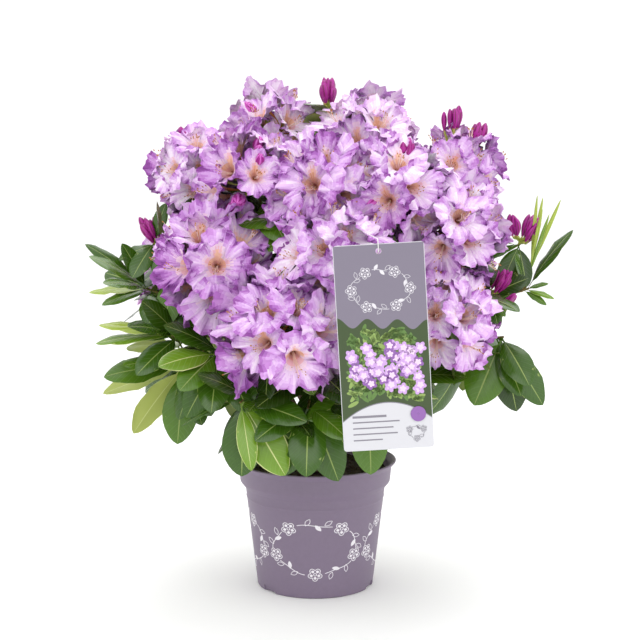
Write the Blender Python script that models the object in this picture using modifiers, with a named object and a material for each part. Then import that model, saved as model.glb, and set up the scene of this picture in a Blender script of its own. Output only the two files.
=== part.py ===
"""A lilac rhododendron in flower, in a five-litre nursery pot with its hanging label.

Metres, +Z up, front towards -Y. The origin is the middle of the pot's flat underside.
The crown is laid out from its centre: each shoot is a direction and a reach, and the boughs,
twigs, leaves and blooms follow from those by seeded rules. Every mass of foliage keeps to the
space that lies nearer to its own shoots than to any other mass's.
"""

import collections
import math

import bmesh
import bpy
import numpy as np
from mathutils import Matrix, Vector

# Pot: outer radii from the lip down, with the height of each
POT_HEIGHT = 0.181
LIP_RADIUS, LIP_DEPTH = 0.1150, 0.0030
COLLAR_RADIUS, COLLAR_TOP = 0.1085, 0.1720
COLLAR_FOOT_RADIUS, COLLAR_FOOT = 0.1065, 0.1510
SHOULDER_RADIUS, SHOULDER_HEIGHT = 0.0990, 0.1415
FOOT_RADIUS = 0.0824
POT_WALL = 0.0018
POT_STEPS = 32
NOTCH_WIDTH, NOTCH_HEIGHT, NOTCH_DEPTH = 0.022, 0.008, 0.016
NOTCH_AZIMUTHS = (-51, 69, 189)

# Root ball and trunk
SOIL_TOP = 0.166
TRUNK_TOP = 0.300
TRUNK_LEAN = (0.006, 0.002)
TRUNK_PROFILE = ((0.00, 0.0190), (0.06, 0.0150), (0.16, 0.0125), (0.55, 0.0110), (1.00, 0.0085))

# Limbs
GAP = 0.0003
FIRST_BOUGH, LAST_BOUGH = 0.195, 0.292
BOUGH_STEP, BOUGH_APART = 0.003, 0.0098
BOUGH_BASE_RADIUS, BOUGH_TIP_RADIUS = 0.0046, 0.0034
BOUGH_POINTS = 6
BOUGH_LEAN, BOUGH_RISE = 0.55, 0.24
STEM_RADIUS, TWIG_RADIUS, TWIG_TIP_RADIUS = 0.0034, 0.0028, 0.0014
STEM_LENGTH = 0.020
TWIG_SECTIONS = 3
TWIG_TURN, TWIG_SINK = 0.45, 0.0015

# Crown: azimuth 0 faces the front and 90 the right, elevation is above the crown's centre,
# and reach is where the shoot's tip lies, from the crown's centre
CROWN_CENTRE = np.array([0.010, 0.0, 0.380])
SHOOT_LIFT = 0.20
BLOOM, BUD, LEAFY = "bloom", "bud", "leafy"
MASSES = {
    "crown_top": ((BLOOM, -115, 76, 0.275), (BLOOM, 66, 73, 0.258), (BUD, 172, 80, 0.300)),
    "upper_left": ((BLOOM, -80, 51, 0.275), (BLOOM, -42, 55, 0.240)),
    "upper_right": ((BLOOM, 96, 47, 0.275), (BLOOM, 40, 52, 0.240)),
    "front_centre": ((BLOOM, 1, 58, 0.228), (BLOOM, 5, 32, 0.205)),
    "front_low": ((BLOOM, -15, 3, 0.205), (LEAFY, -31, -23, 0.213), (LEAFY, -6, -28, 0.190)),
    "left": ((BLOOM, -49, 26, 0.212), (BUD, -90, 25, 0.262), (LEAFY, -88, 10, 0.245)),
    "left_low": ((LEAFY, -70, -4, 0.206), (LEAFY, -76, -17, 0.203), (LEAFY, -46, -9, 0.187)),
    "right": ((BLOOM, 60, 34, 0.240), (BUD, 91, 21, 0.300), (LEAFY, 91, 8, 0.282)),
    "right_low": ((BLOOM, 49, 6, 0.212), (BUD, 73, 10, 0.245), (LEAFY, 75, -4, 0.245)),
    "front_right": ((LEAFY, 20, -28, 0.180), (LEAFY, 40, -22, 0.165)),
    "back_upper": ((BLOOM, 180, 56, 0.250), (BUD, -155, 38, 0.275)),
    "back_left": ((BLOOM, -128, 41, 0.262), (BLOOM, -118, 12, 0.235), (LEAFY, -104, -14, 0.215)),
    "back_right": ((BLOOM, 138, 42, 0.258), (BLOOM, 126, 12, 0.235), (LEAFY, 112, -8, 0.220)),
    "back_centre": ((BLOOM, 178, 24, 0.225), (LEAFY, 172, -8, 0.215)),
    "back_low": ((BLOOM, -154, -4, 0.210), (LEAFY, -146, -26, 0.205), (LEAFY, 146, -16, 0.205)),
}
HUB_SHARE = 0.46
CELL_RADIUS = {BLOOM: 0.075, BUD: 0.050, LEAFY: 0.062}
CELL_MARGIN, LIMB_MARGIN = 0.0008, 0.0012
SOIL_MARGIN, RIM_MARGIN, LABEL_MARGIN = 0.002, 0.003, 0.003
PROBE_STEPS = 4

# Leaves: four-sided blades in a whorl under each tip
LEAF_LENGTH, LEAF_WIDTH, LEAF_THICKNESS = 0.102, 0.042, 0.0016
LEAF_FOLD, LEAF_CURL = 0.16, 0.14
LEAF_COUNT = {BLOOM: 6, BUD: 7, LEAFY: 8}
LEAF_SIZES = (0.84, 1.08)
LEAF_SPLAY, SPLAY_SPREAD = {BLOOM: (82, 108), BUD: (55, 100), LEAFY: (48, 104)}, 7
LEAF_DROP = {BLOOM: 0.022, BUD: 0.014, LEAFY: 0.016}
LEAF_STEP = 0.0026
LEAF_DROOP, DROOP_SPREAD = 0.20, 0.1
LEAF_SWERVES = (0, 20, -20, 40, -40, 65, -65)
LEAF_LEAST = 0.8

# Blooms: funnels on short stalks round the tip, and slender buds where they are still shut
BLOOM_COUNT, BLOOM_CAP = 7, 100
BLOOM_SIZES = (0.92, 1.08)
NECK_AT, NECK_RADIUS = 0.034, 0.0032
THROAT_AT = 0.048
RIM_AT, RIM_RADIUS = 0.068, 0.041
BUD_COUNT, BUD_CAP = 8, 62
CORE_DROP, CORE_STEP = 0.002, 0.0011
BUD_LENGTH, BUD_WIDTH, BUD_WIDEST = 0.038, 0.0110, 0.6
TIP_LENGTH = 0.012
SIZE_TRIES = (1.0, 0.86, 0.72)
GOLDEN_ANGLE = math.pi * (3 - math.sqrt(5))
SEED = 20

# Label: a card that hangs by a tie from a twig of the front mass
LABEL_WIDTH, LABEL_HEIGHT, LABEL_THICKNESS = 0.112, 0.256, 0.0008
LABEL_TOP = np.array([0.0775, -0.268, 0.508])
LABEL_ROLL, LABEL_PITCH = 3.4, 0.0
HOLE_RADIUS, HOLE_DROP = 0.0035, 0.009
TIE_RADIUS = 0.0006
TIE_MASS, TIE_SHOOT, TIE_DROP = "front_centre", 0, 0.034
TIE_WRAP, TIE_POINTS, TIE_LIFT = 115, 7, 0.006

Shoot = collections.namedtuple("Shoot", "mass kind tip axis")
Limb = collections.namedtuple("Limb", "owner points radii")


def unit(vector):
    """The vector at length one."""
    return vector / np.linalg.norm(vector)


def polar(azimuth, elevation, reach):
    """The point at that direction and reach from the crown's centre."""
    a, e = math.radians(azimuth), math.radians(elevation)
    direction = np.array([math.sin(a) * math.cos(e), -math.cos(a) * math.cos(e), math.sin(e)])
    return CROWN_CENTRE + reach * direction


def bend(start, control, end, count):
    """Points along the quadratic curve from start to end that leans towards control."""
    t = np.linspace(0, 1, count)[:, None]
    return (1 - t) ** 2 * start + 2 * t * (1 - t) * control + t**2 * end


def frame_towards(direction, upwards):
    """A 3x3 whose columns are direction, a side, and the normal nearest to upwards."""
    normal = upwards - direction * (upwards @ direction)
    if np.linalg.norm(normal) < 1e-3:
        normal = np.array([0.0, 1.0, 0.0]) - direction * direction[1]
    normal = unit(normal)
    return np.stack([direction, np.cross(normal, direction), normal], axis=1)


def placed(frame, origin, size=1.0):
    """A 4x4 that turns by frame, scales by size and moves to origin."""
    matrix = np.eye(4)
    matrix[:3, :3] = frame * size
    matrix[:3, 3] = origin
    return matrix


def moved(points, matrix):
    """Points carried by a 4x4."""
    return points @ matrix[:3, :3].T + matrix[:3, 3]


# Scene helpers


def clear_scene():
    """Removes every object that the startup scene holds."""
    for obj in list(bpy.data.objects):
        bpy.data.objects.remove(obj)


def make_collection(name, hidden=False):
    """A new collection in the scene, left out of renders if hidden."""
    made = bpy.data.collections.new(name)
    made.hide_render = hidden
    bpy.context.scene.collection.children.link(made)
    return made


def make_material(name, colour, roughness):
    """A Principled BSDF of one colour."""
    made = bpy.data.materials.new(name)
    made.use_nodes = True
    shader = made.node_tree.nodes["Principled BSDF"]
    shader.inputs["Base Color"].default_value = (*colour, 1)
    shader.inputs["Roughness"].default_value = roughness
    return made


def add_object(name, data, collection):
    """A new object of this mesh or curve, linked to the collection."""
    made = bpy.data.objects.new(name, data)
    collection.objects.link(made)
    return made


def mesh_of(name, shape):
    """The bmesh as a named mesh."""
    made = bpy.data.meshes.new(name)
    shape.to_mesh(made)
    shape.free()
    return made


def evaluated_mesh(obj):
    """The object's mesh with its modifiers applied."""
    graph = bpy.context.evaluated_depsgraph_get()
    return bpy.data.meshes.new_from_object(obj.evaluated_get(graph))


def applied(obj):
    """Swaps the object's mesh for the one that its modifiers make."""
    made = evaluated_mesh(obj)
    obj.modifiers.clear()
    obj.data = made
    return obj


def cut(obj, cutter):
    """Takes the cutter out of obj."""
    step = obj.modifiers.new("cut", "BOOLEAN")
    step.operation = "DIFFERENCE"
    step.object = cutter
    return obj


def turned(name, profile, steps, collection):
    """A closed solid turned round Z from (radius, height) points, outer side first."""
    shape = bmesh.new()
    points = [shape.verts.new((radius, 0, height)) for radius, height in profile]
    for first, second in zip(points, points[1:]):
        shape.edges.new((first, second))
    mesh = bpy.data.meshes.new(name)
    shape.to_mesh(mesh)
    shape.free()
    obj = add_object(name, mesh, collection)
    screw = obj.modifiers.new("turn", "SCREW")
    screw.steps = screw.render_steps = steps
    screw.use_merge_vertices = True
    screw.merge_threshold = 0.00001
    return obj


def tube(name, points, radii, collection, sides=1, cyclic=False):
    """A round limb along the points: a bevelled curve made into a closed mesh."""
    curve = bpy.data.curves.new(name, "CURVE")
    curve.dimensions = "3D"
    curve.bevel_depth = 1.0
    curve.bevel_resolution = sides
    curve.use_fill_caps = True
    spline = curve.splines.new("POLY")
    spline.points.add(len(points) - 1)
    spline.use_cyclic_u = cyclic
    for point, place, radius in zip(spline.points, points, radii):
        point.co = (*place, 1)
        point.radius = radius
    guide = add_object(name + "_guide", curve, collection)
    mesh = evaluated_mesh(guide)
    bpy.data.objects.remove(guide)
    shape = bmesh.new()
    shape.from_mesh(mesh)
    bmesh.ops.remove_doubles(shape, verts=shape.verts, dist=0.00001)
    return add_object(name, mesh_of(name, shape), collection)


# Layout of the limbs


def lay_out_shoots():
    """Every shoot with its tip and the way it points: outwards, and lifted a little."""
    shoots = []
    for mass, rows in MASSES.items():
        for kind, azimuth, elevation, reach in rows:
            tip = polar(azimuth, elevation, reach)
            axis = unit(unit(tip - CROWN_CENTRE) + np.array([0, 0, SHOOT_LIFT]))
            shoots.append(Shoot(mass, kind, tip, axis))
    return shoots


def trunk_point(height):
    """The middle of the trunk at that height: upright at the soil, then leaning."""
    share = ((height - SOIL_TOP) / (TRUNK_TOP - SOIL_TOP)) ** 2
    return np.array([TRUNK_LEAN[0] * share, TRUNK_LEAN[1] * share, height])


def lay_out_trunk():
    """The trunk: a flared foot, a slight lean and a blunt top where the boughs leave."""
    foot = SOIL_TOP + GAP
    shares = [share for share, _ in TRUNK_PROFILE]
    points = np.array([trunk_point(foot + share * (TRUNK_TOP - foot)) for share in shares])
    return Limb("trunk", points, np.array([radius for _, radius in TRUNK_PROFILE]))


def hub_of(shoots):
    """Where a mass's stem ends and its twigs part: some way out towards its shoots."""
    return CROWN_CENTRE + HUB_SHARE * (np.mean([s.tip for s in shoots], axis=0) - CROWN_CENTRE)


def bough_to(mass, hub, height):
    """A bough that leaves the trunk at that height, sags a little and ends short of the hub."""
    start = trunk_point(height)
    end = hub - unit(hub - start) * STEM_LENGTH
    control = start + np.array([BOUGH_LEAN, BOUGH_LEAN, BOUGH_RISE]) * (end - start)
    points = bend(start, control, end, BOUGH_POINTS)
    radii = np.linspace(BOUGH_BASE_RADIUS, BOUGH_TIP_RADIUS, BOUGH_POINTS)
    return Limb("bough_" + mass, points, radii)


def outer_run(limb):
    """Close-set points along the part of a limb that is outside the trunk."""
    shares = np.linspace(0, len(limb.points) - 1, 8 * len(limb.points))
    along = np.arange(len(limb.points))
    run = np.stack([np.interp(shares, along, limb.points[:, axis]) for axis in range(3)], axis=1)
    beside = np.hypot(run[:, 0] - TRUNK_LEAN[0], run[:, 1] - TRUNK_LEAN[1]) > TRUNK_PROFILE[2][1]
    return run[beside | (run[:, 2] > TRUNK_TOP)]


def lay_out_boughs(shoots):
    """One bough to each mass: low masses from low on the trunk, at the next height that is clear."""
    hubs = {mass: hub_of([s for s in shoots if s.mass == mass]) for mass in MASSES}
    order = sorted(hubs, key=lambda mass: hubs[mass][2])
    boughs = {}
    for mass, wanted in zip(order, np.linspace(FIRST_BOUGH, LAST_BOUGH, len(order))):
        tries = sorted(np.arange(FIRST_BOUGH, LAST_BOUGH, BOUGH_STEP), key=lambda h: abs(h - wanted))
        for height in tries:
            bough = bough_to(mass, hubs[mass], height)
            run = outer_run(bough)
            gaps = [np.linalg.norm(run[:, None] - outer_run(b), axis=2).min() for b in boughs.values()]
            if min(gaps, default=1) > BOUGH_APART:
                break
        boughs[mass] = bough
    return boughs


def lay_out_twigs(shoots, boughs):
    """Each mass's stem, which goes on from its bough's tip, and its twigs, as lists of limbs."""
    twigs = {}
    for mass, bough in boughs.items():
        way = unit(bough.points[-1] - bough.points[-2])
        start = bough.points[-1] + way * GAP
        radii = np.array([STEM_RADIUS, TWIG_RADIUS])
        twigs[mass] = [Limb(mass, np.array([start, start + way * STEM_LENGTH]), radii)]
    for shoot in shoots:
        hub = twigs[shoot.mass][0].points[1]
        control = shoot.tip - shoot.axis * TWIG_TURN * np.linalg.norm(shoot.tip - hub)
        points = bend(hub, control, shoot.tip, TWIG_SECTIONS + 1)
        points[0] -= unit(points[1] - points[0]) * TWIG_SINK
        if shoot.kind == LEAFY:
            points = np.vstack([points, shoot.tip + shoot.axis * TIP_LENGTH])
        radii = np.full(len(points), TWIG_RADIUS)
        radii[-1] = TWIG_TIP_RADIUS
        twigs[shoot.mass].append(Limb(shoot.mass, points, radii))
    return twigs


# Label and tie


def point_below(twig, drop):
    """A point on the twig's middle line, that far below its tip."""
    for end, start in zip(twig.points[::-1], twig.points[-2::-1]):
        length = np.linalg.norm(end - start)
        if drop <= length:
            return end + (start - end) * drop / length
        drop -= length
    return twig.points[0]


def label_frame():
    """The label's 4x4: its own X runs across the card, Y out of its back, Z up."""
    roll = Matrix.Rotation(math.radians(-LABEL_ROLL), 4, "Y")
    pitch = Matrix.Rotation(math.radians(LABEL_PITCH), 4, "X")
    return Matrix.Translation(Vector(LABEL_TOP)) @ pitch @ roll


def lay_out_tie(twigs):
    """The tie's loop: round a twig of the front mass, and down through the label's hole."""
    twig = twigs[TIE_MASS][1 + TIE_SHOOT]
    held = point_below(twig, TIE_DROP)
    along = unit(point_below(twig, TIE_DROP - TIE_RADIUS) - held)
    card = np.array(label_frame())
    away = held - card[:3, 3]
    frame = frame_towards(along, unit(away))
    ring = TWIG_RADIUS + TIE_RADIUS + GAP
    angles = np.radians(np.linspace(-TIE_WRAP, TIE_WRAP, TIE_POINTS))[:, None]
    wrap = held + ring * (np.cos(angles) * frame[:, 2] + np.sin(angles) * frame[:, 1])
    clear = LABEL_THICKNESS / 2 + TIE_RADIUS + GAP
    through = np.array(
        [
            [0, clear, TIE_LIFT],
            [0, clear, TIE_RADIUS - HOLE_DROP],
            [0, 0, -TIE_RADIUS - HOLE_DROP],
            [0, -clear, TIE_RADIUS - HOLE_DROP],
            [0, -clear, TIE_LIFT],
        ]
    )
    points = np.vstack([wrap, moved(through, card), wrap[:1]])
    return Limb("label_tie", points, np.full(len(points), TIE_RADIUS))


# What a leaf or bloom must stay clear of


def crossed(triangles, starts, ways):
    """True if any line from a start along its way goes through any triangle."""
    corner = triangles[:, None, 0]
    side, other = triangles[:, None, 1] - corner, triangles[:, None, 2] - corner
    normal = np.cross(ways, other)
    scale = (side * normal).sum(2)
    scale[np.abs(scale) < 1e-12] = 1e-12
    gap = starts - corner
    u = (gap * normal).sum(2) / scale
    turned_gap = np.cross(gap, side)
    v = (ways * turned_gap).sum(2) / scale
    t = (other * turned_gap).sum(2) / scale
    return bool(((u > 0) & (v > 0) & (u + v < 1) & (t > 0) & (t < 1)).any())


class Room:
    """The space that each mass keeps to, and the limbs, pot and label that stand in it."""

    def __init__(self, shoots, limbs):
        """Takes in all shoots, as the middles of their cells, and all limbs."""
        self.masses = np.array([shoot.mass for shoot in shoots])
        self.tips = np.array([shoot.tip for shoot in shoots])
        self.weights = np.array([CELL_RADIUS[shoot.kind] for shoot in shoots]) ** 2
        parts = [
            (limb.owner, first, second, max(limb.radii))
            for limb in limbs
            for first, second in zip(limb.points, limb.points[1:])
        ]
        self.owners = np.array([part[0] for part in parts])
        self.starts = np.array([part[1] for part in parts])
        self.ends = np.array([part[2] for part in parts])
        self.radii = np.array([part[3] for part in parts])
        self.to_label = np.linalg.inv(np.array(label_frame()))

    def in_cell(self, mass, points):
        """True if every point is nearer to this mass's shoots than to the others', by the margin."""
        power = ((points[:, None] - self.tips) ** 2).sum(2) - self.weights
        own = self.masses == mass
        mine = np.where(own, power, np.inf).argmin(1)
        apart = np.linalg.norm(self.tips[:, None] - self.tips, axis=2)[mine][:, ~own]
        lead = power[:, ~own] - power[np.arange(len(points)), mine][:, None]
        return bool((lead > 2 * CELL_MARGIN * apart).all())

    def off_limbs(self, mass, points, faces):
        """True if no point touches, and no face is crossed by, a limb that isn't the mass's own."""
        others = self.owners != mass
        starts, ends, radii = self.starts[others], self.ends[others], self.radii[others]
        ways = ends - starts
        share = ((points[:, None] - starts) * ways).sum(2) / (ways**2).sum(1)
        nearest = starts + np.clip(share, 0, 1)[..., None] * ways
        gaps = np.linalg.norm(points[:, None] - nearest, axis=2) - radii
        return bool((gaps > LIMB_MARGIN).all()) and not crossed(points[faces], starts, ways)

    def off_pot(self, points):
        """True if the points are above the soil, and inside the pot's rim or well outside it."""
        out = np.hypot(points[:, 0], points[:, 1])
        low = points[:, 2] < POT_HEIGHT + RIM_MARGIN
        within = out < LIP_RADIUS + RIM_MARGIN
        near_rim = (out > COLLAR_FOOT_RADIUS - POT_WALL - RIM_MARGIN) & within
        in_soil = (points[:, 2] < SOIL_TOP + SOIL_MARGIN) & within
        return not bool((low & (near_rim | in_soil)).any())

    def off_label(self, points):
        """True if no point is inside or before the label's card."""
        x, y, z = moved(points, self.to_label).T
        beside = np.abs(x) < LABEL_WIDTH / 2 + LABEL_MARGIN
        level = (z < LABEL_MARGIN) & (z > -LABEL_HEIGHT - LABEL_MARGIN)
        return not bool((beside & level & (y < LABEL_THICKNESS + LABEL_MARGIN)).any())

    def takes(self, mass, points, faces):
        """True if a shape of these points, the first of which its faces join, fits in the space."""
        return (
            self.off_pot(points)
            and self.off_label(points)
            and self.in_cell(mass, points)
            and self.off_limbs(mass, points, faces)
        )


# Leaf, funnel and bud: each starts as a coarse sphere


def sphere_shape(sides, bands=2):
    """A unit sphere as a bmesh: its poles on Z, and one point of each ring between them over +X."""
    shape = bmesh.new()
    bmesh.ops.create_uvsphere(shape, u_segments=sides, v_segments=bands, radius=1)
    first = max(shape.verts, key=lambda vert: vert.co.x)
    turn = Matrix.Rotation(-math.atan2(first.co.y, first.co.x), 3, "Z")
    bmesh.ops.transform(shape, matrix=turn, verts=shape.verts)
    return shape


def leaf_mesh():
    """A leaf of unit length along +X: a flat four-sided sphere, folded at the midrib and curled."""
    shape = sphere_shape(4)
    for vert in shape.verts:
        x, y, z = vert.co
        along = (x + 1) / 2
        across = y * LEAF_WIDTH / LEAF_LENGTH / 2
        thick = z * LEAF_THICKNESS / LEAF_LENGTH / 2
        vert.co = (along, across, thick + LEAF_FOLD * abs(across) - LEAF_CURL * along**2)
    return mesh_of("leaf", shape)


def funnel_mesh():
    """A bloom on its stalk, opening along +X: a point of its rim for each of its five lobes."""
    shape = sphere_shape(5, 3)
    for vert in shape.verts:
        x, y, z = vert.co
        out = math.hypot(x, y) + 1e-9
        if z < -0.9:
            vert.co = (0, 0, 0)
        elif z > 0.9:
            vert.co = (THROAT_AT, 0, 0)
        elif z < 0:
            vert.co = (NECK_AT, NECK_RADIUS * x / out, NECK_RADIUS * y / out)
        else:
            vert.co = (RIM_AT, RIM_RADIUS * x / out, RIM_RADIUS * y / out)
    return mesh_of("funnel", shape)


def bud_mesh():
    """A shut flower bud of unit length along +X, widest some way along."""
    shape = sphere_shape(5)
    for vert in shape.verts:
        x, y, z = vert.co
        swell = BUD_WIDTH / BUD_LENGTH / 2
        vert.co = (BUD_WIDEST + z * (1 - BUD_WIDEST if z > 0 else BUD_WIDEST), x * swell, y * swell)
    return mesh_of("bud", shape)


def probe(mesh):
    """The mesh's points, then more spread over its faces, and its faces as rows of three."""
    corners = np.array([vert.co for vert in mesh.vertices])
    mesh.calc_loop_triangles()
    faces = np.array([face.vertices for face in mesh.loop_triangles])
    steps = range(PROBE_STEPS + 1)
    shares = np.array([(i, j, PROBE_STEPS - i - j) for i in steps for j in steps if i + j <= PROBE_STEPS])
    spread = np.einsum("sc,fcx->fsx", shares / PROBE_STEPS, corners[faces]).reshape(-1, 3)
    return np.vstack([corners, np.unique(spread.round(6), axis=0)]), faces


# Growth rules of one shoot


def whorl(shoot, twig, rng):
    """Leaves round the shoot under its tip, from the highest down: for each, its root and size,
    and the ways that it may point, the wanted one first."""
    count = LEAF_COUNT[shoot.kind]
    first, last = LEAF_SPLAY[shoot.kind]
    base = frame_towards(shoot.axis, np.array([0.0, 0.0, 1.0]))
    turn = rng.uniform(0, 2 * math.pi)
    for i in range(count):
        wanted = first + (last - first) * i / (count - 1)
        splay = math.radians(wanted + rng.uniform(-SPLAY_SPREAD, SPLAY_SPREAD))
        turn += GOLDEN_ANGLE
        ways = []
        for swerve in LEAF_SWERVES:
            angle = turn + math.radians(swerve)
            side = base[:, 1] * math.cos(angle) + base[:, 2] * math.sin(angle)
            way = shoot.axis * math.cos(splay) + side * math.sin(splay)
            droop = LEAF_DROOP + rng.uniform(-DROOP_SPREAD, DROOP_SPREAD)
            ways.append(unit(way - np.array([0, 0, droop])))
        root = point_below(twig, LEAF_DROP[shoot.kind] + LEAF_STEP * i)
        yield root, LEAF_LENGTH * rng.uniform(*LEAF_SIZES), ways


def truss(shoot, count, cap, rng):
    """Ways of the blooms or buds of one truss: a golden spiral over a cap round the tip."""
    base = frame_towards(shoot.axis, np.array([0.0, 0.0, 1.0]))
    turn = rng.uniform(0, 2 * math.pi)
    low = math.cos(math.radians(cap))
    for i in range(count):
        turn += GOLDEN_ANGLE
        rise = 1 - (1 - low) * (i + 0.5) / count
        side = base[:, 1] * math.cos(turn) + base[:, 2] * math.sin(turn)
        way = shoot.axis * rise + side * math.sqrt(1 - rise**2)
        yield unit(way), rng.uniform(*BLOOM_SIZES)


class Grower:
    """Builds the masses one by one: stem and twigs, and the leaves, blooms and buds that fit."""

    def __init__(self, room, looks, collection):
        """Makes the leaf, funnel and bud that every mass repeats."""
        self.room = room
        self.looks = looks
        self.collection = collection
        self.fused = None
        self.meshes = {"leaf": leaf_mesh(), "funnel": funnel_mesh(), "bud": bud_mesh()}
        self.probes = {name: probe(mesh) for name, mesh in self.meshes.items()}

    def twig(self, points, radii):
        """A three-sided twig along the points, closed at both ends."""
        ways = np.gradient(points, axis=0)
        rings = []
        for point, way, radius in zip(points, ways, radii):
            frame = frame_towards(unit(way), np.array([0.0, 0.0, 1.0]))
            angles = np.radians([90, 210, 330])[:, None]
            rings.append(point + radius * (np.cos(angles) * frame[:, 1] + np.sin(angles) * frame[:, 2]))
        count = len(points)
        faces = [(2, 1, 0), tuple(3 * count - 3 + i for i in range(3))]
        for ring in range(0, 3 * count - 3, 3):
            faces += [(ring + i, ring + (i + 1) % 3, ring + 3 + (i + 1) % 3, ring + 3 + i) for i in range(3)]
        mesh = bpy.data.meshes.new("twig")
        mesh.from_pydata(np.vstack(rings).tolist(), [], faces)
        return add_object("twig", mesh, self.fused)

    def add(self, name, mass, frame, root, size, least=0.0):
        """Adds the shape at the largest size that fits. Says whether one did."""
        for share in SIZE_TRIES:
            if share < least:
                break
            matrix = placed(frame, root, size * share)
            points, faces = self.probes[name]
            if self.room.takes(mass, moved(points, matrix), faces):
                obj = add_object(name, self.meshes[name], self.fused)
                obj.matrix_world = Matrix(matrix.tolist())
                return True
        return False

    def dress(self, shoot, twig, rng):
        """The leaves of one shoot, and its blooms or buds."""
        for root, size, ways in whorl(shoot, twig, rng):
            for way in ways:
                if self.add("leaf", shoot.mass, frame_towards(way, shoot.axis), root, size, LEAF_LEAST):
                    break
        if shoot.kind == LEAFY:
            return
        count, cap = (BLOOM_COUNT, BLOOM_CAP) if shoot.kind == BLOOM else (BUD_COUNT, BUD_CAP)
        name, length = ("funnel", 1.0) if shoot.kind == BLOOM else ("bud", BUD_LENGTH)
        for i, (way, size) in enumerate(truss(shoot, count, cap, rng)):
            core = point_below(twig, CORE_DROP + CORE_STEP * i)
            self.add(name, shoot.mass, frame_towards(way, shoot.axis), core, length * size)

    def grow(self, mass, shoots, twigs, seed):
        """Fuses all of one mass into a single closed solid."""
        rng = np.random.default_rng(seed)
        self.fused = make_collection("fused_" + mass)
        for limb in twigs:
            self.twig(limb.points, limb.radii)
        for shoot, twig in zip(shoots, twigs[1:]):
            self.dress(shoot, twig, rng)
        return self.joined(mass)

    def joined(self, mass):
        """One Boolean union of the collection, of which the outer shell is kept."""
        stem = self.fused.objects[0]
        obj = add_object(mass, stem.data, self.collection)
        bpy.data.objects.remove(stem)
        union = obj.modifiers.new("union", "BOOLEAN")
        union.operation = "UNION"
        union.operand_type = "COLLECTION"
        union.collection = self.fused
        union.solver = "MANIFOLD"
        applied(obj)
        for used in list(self.fused.objects):
            bpy.data.objects.remove(used)
        bpy.data.collections.remove(self.fused)
        obj.data = outer_shell(mass, obj.data)
        obj.data.materials.append(self.looks["foliage"])
        return obj


def outer_shell(name, mesh):
    """The mesh without loose scraps and sealed hollows: only its largest shell stays."""
    shape = bmesh.new()
    shape.from_mesh(mesh)
    left = set(shape.verts)
    shells = []
    while left:
        reached, edge = set(), {left.pop()}
        while edge:
            reached |= edge
            edge = {e.other_vert(v) for v in edge for e in v.link_edges} - reached
        left -= reached
        shells.append(reached)
    largest = max(shells, key=len)
    bmesh.ops.delete(shape, geom=[v for v in shape.verts if v not in largest], context="VERTS")
    bmesh.ops.triangulate(shape, faces=shape.faces)
    return mesh_of(name, shape)


# The made pieces


def make_pot(collection, cutters, looks):
    """The pot: lip, collar, shoulder and tapered wall, with drain notches in its foot."""
    wall = POT_WALL
    outer = [
        (LIP_RADIUS, POT_HEIGHT),
        (LIP_RADIUS, POT_HEIGHT - LIP_DEPTH),
        (COLLAR_RADIUS, COLLAR_TOP),
        (COLLAR_FOOT_RADIUS, COLLAR_FOOT),
        (SHOULDER_RADIUS, SHOULDER_HEIGHT),
        (FOOT_RADIUS, 0.0),
        (0.0, 0.0),
    ]
    inner = [
        (0.0, wall),
        (FOOT_RADIUS - wall, wall),
        (SHOULDER_RADIUS - wall, SHOULDER_HEIGHT),
        (COLLAR_FOOT_RADIUS - wall, COLLAR_FOOT),
        (COLLAR_RADIUS - wall, COLLAR_TOP),
        (LIP_RADIUS - 2 * wall, POT_HEIGHT),
        outer[0],
    ]
    pot = turned("pot", outer + inner, POT_STEPS, collection)
    for i, azimuth in enumerate(NOTCH_AZIMUTHS):
        shape = bmesh.new()
        bmesh.ops.create_cube(shape, size=1)
        bmesh.ops.scale(shape, vec=(NOTCH_WIDTH, NOTCH_DEPTH, 2 * NOTCH_HEIGHT), verts=shape.verts)
        notch = add_object(f"notch_{i}", mesh_of("notch", shape), cutters)
        notch.rotation_euler.z = math.radians(azimuth)
        notch.location = Matrix.Rotation(math.radians(azimuth), 3, "Z") @ Vector((0, -FOOT_RADIUS, 0))
        notch.hide_render = True
        notch.display_type = "WIRE"
        cut(pot, notch)
    pot.data.materials.append(looks["pot"])
    return pot


def make_soil(collection, looks):
    """The root ball, which fills the pot to a little under its collar's top."""
    wall = POT_WALL + GAP
    share = (SOIL_TOP - COLLAR_FOOT) / (COLLAR_TOP - COLLAR_FOOT)
    top_radius = COLLAR_FOOT_RADIUS + share * (COLLAR_RADIUS - COLLAR_FOOT_RADIUS)
    foot = max(wall, NOTCH_HEIGHT + GAP)
    foot_radius = FOOT_RADIUS + (SHOULDER_RADIUS - FOOT_RADIUS) * foot / SHOULDER_HEIGHT
    profile = [
        (0.0, SOIL_TOP),
        (top_radius - wall, SOIL_TOP),
        (COLLAR_FOOT_RADIUS - wall, COLLAR_FOOT),
        (SHOULDER_RADIUS - wall, SHOULDER_HEIGHT),
        (foot_radius - wall, foot),
        (FOOT_RADIUS - NOTCH_DEPTH, foot),
        (FOOT_RADIUS - NOTCH_DEPTH, wall),
        (0.0, wall),
    ]
    soil = turned("soil", profile, POT_STEPS, collection)
    soil.data.materials.append(looks["soil"])
    return soil


def make_limbs(trunk, boughs, collection, cutters, looks):
    """The trunk, and each bough cut clear of it where it leaves."""
    stem = tube("trunk", trunk.points, trunk.radii, collection, sides=3)
    stem.data.materials.append(looks["bark"])
    cutter = tube("trunk_room", trunk.points, trunk.radii + GAP, cutters, sides=3)
    cutter.hide_render = True
    cutter.display_type = "WIRE"
    for bough in boughs.values():
        limb = tube(bough.owner, bough.points, bough.radii, collection)
        cut(limb, cutter)
        limb.data.materials.append(looks["bark"])


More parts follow.
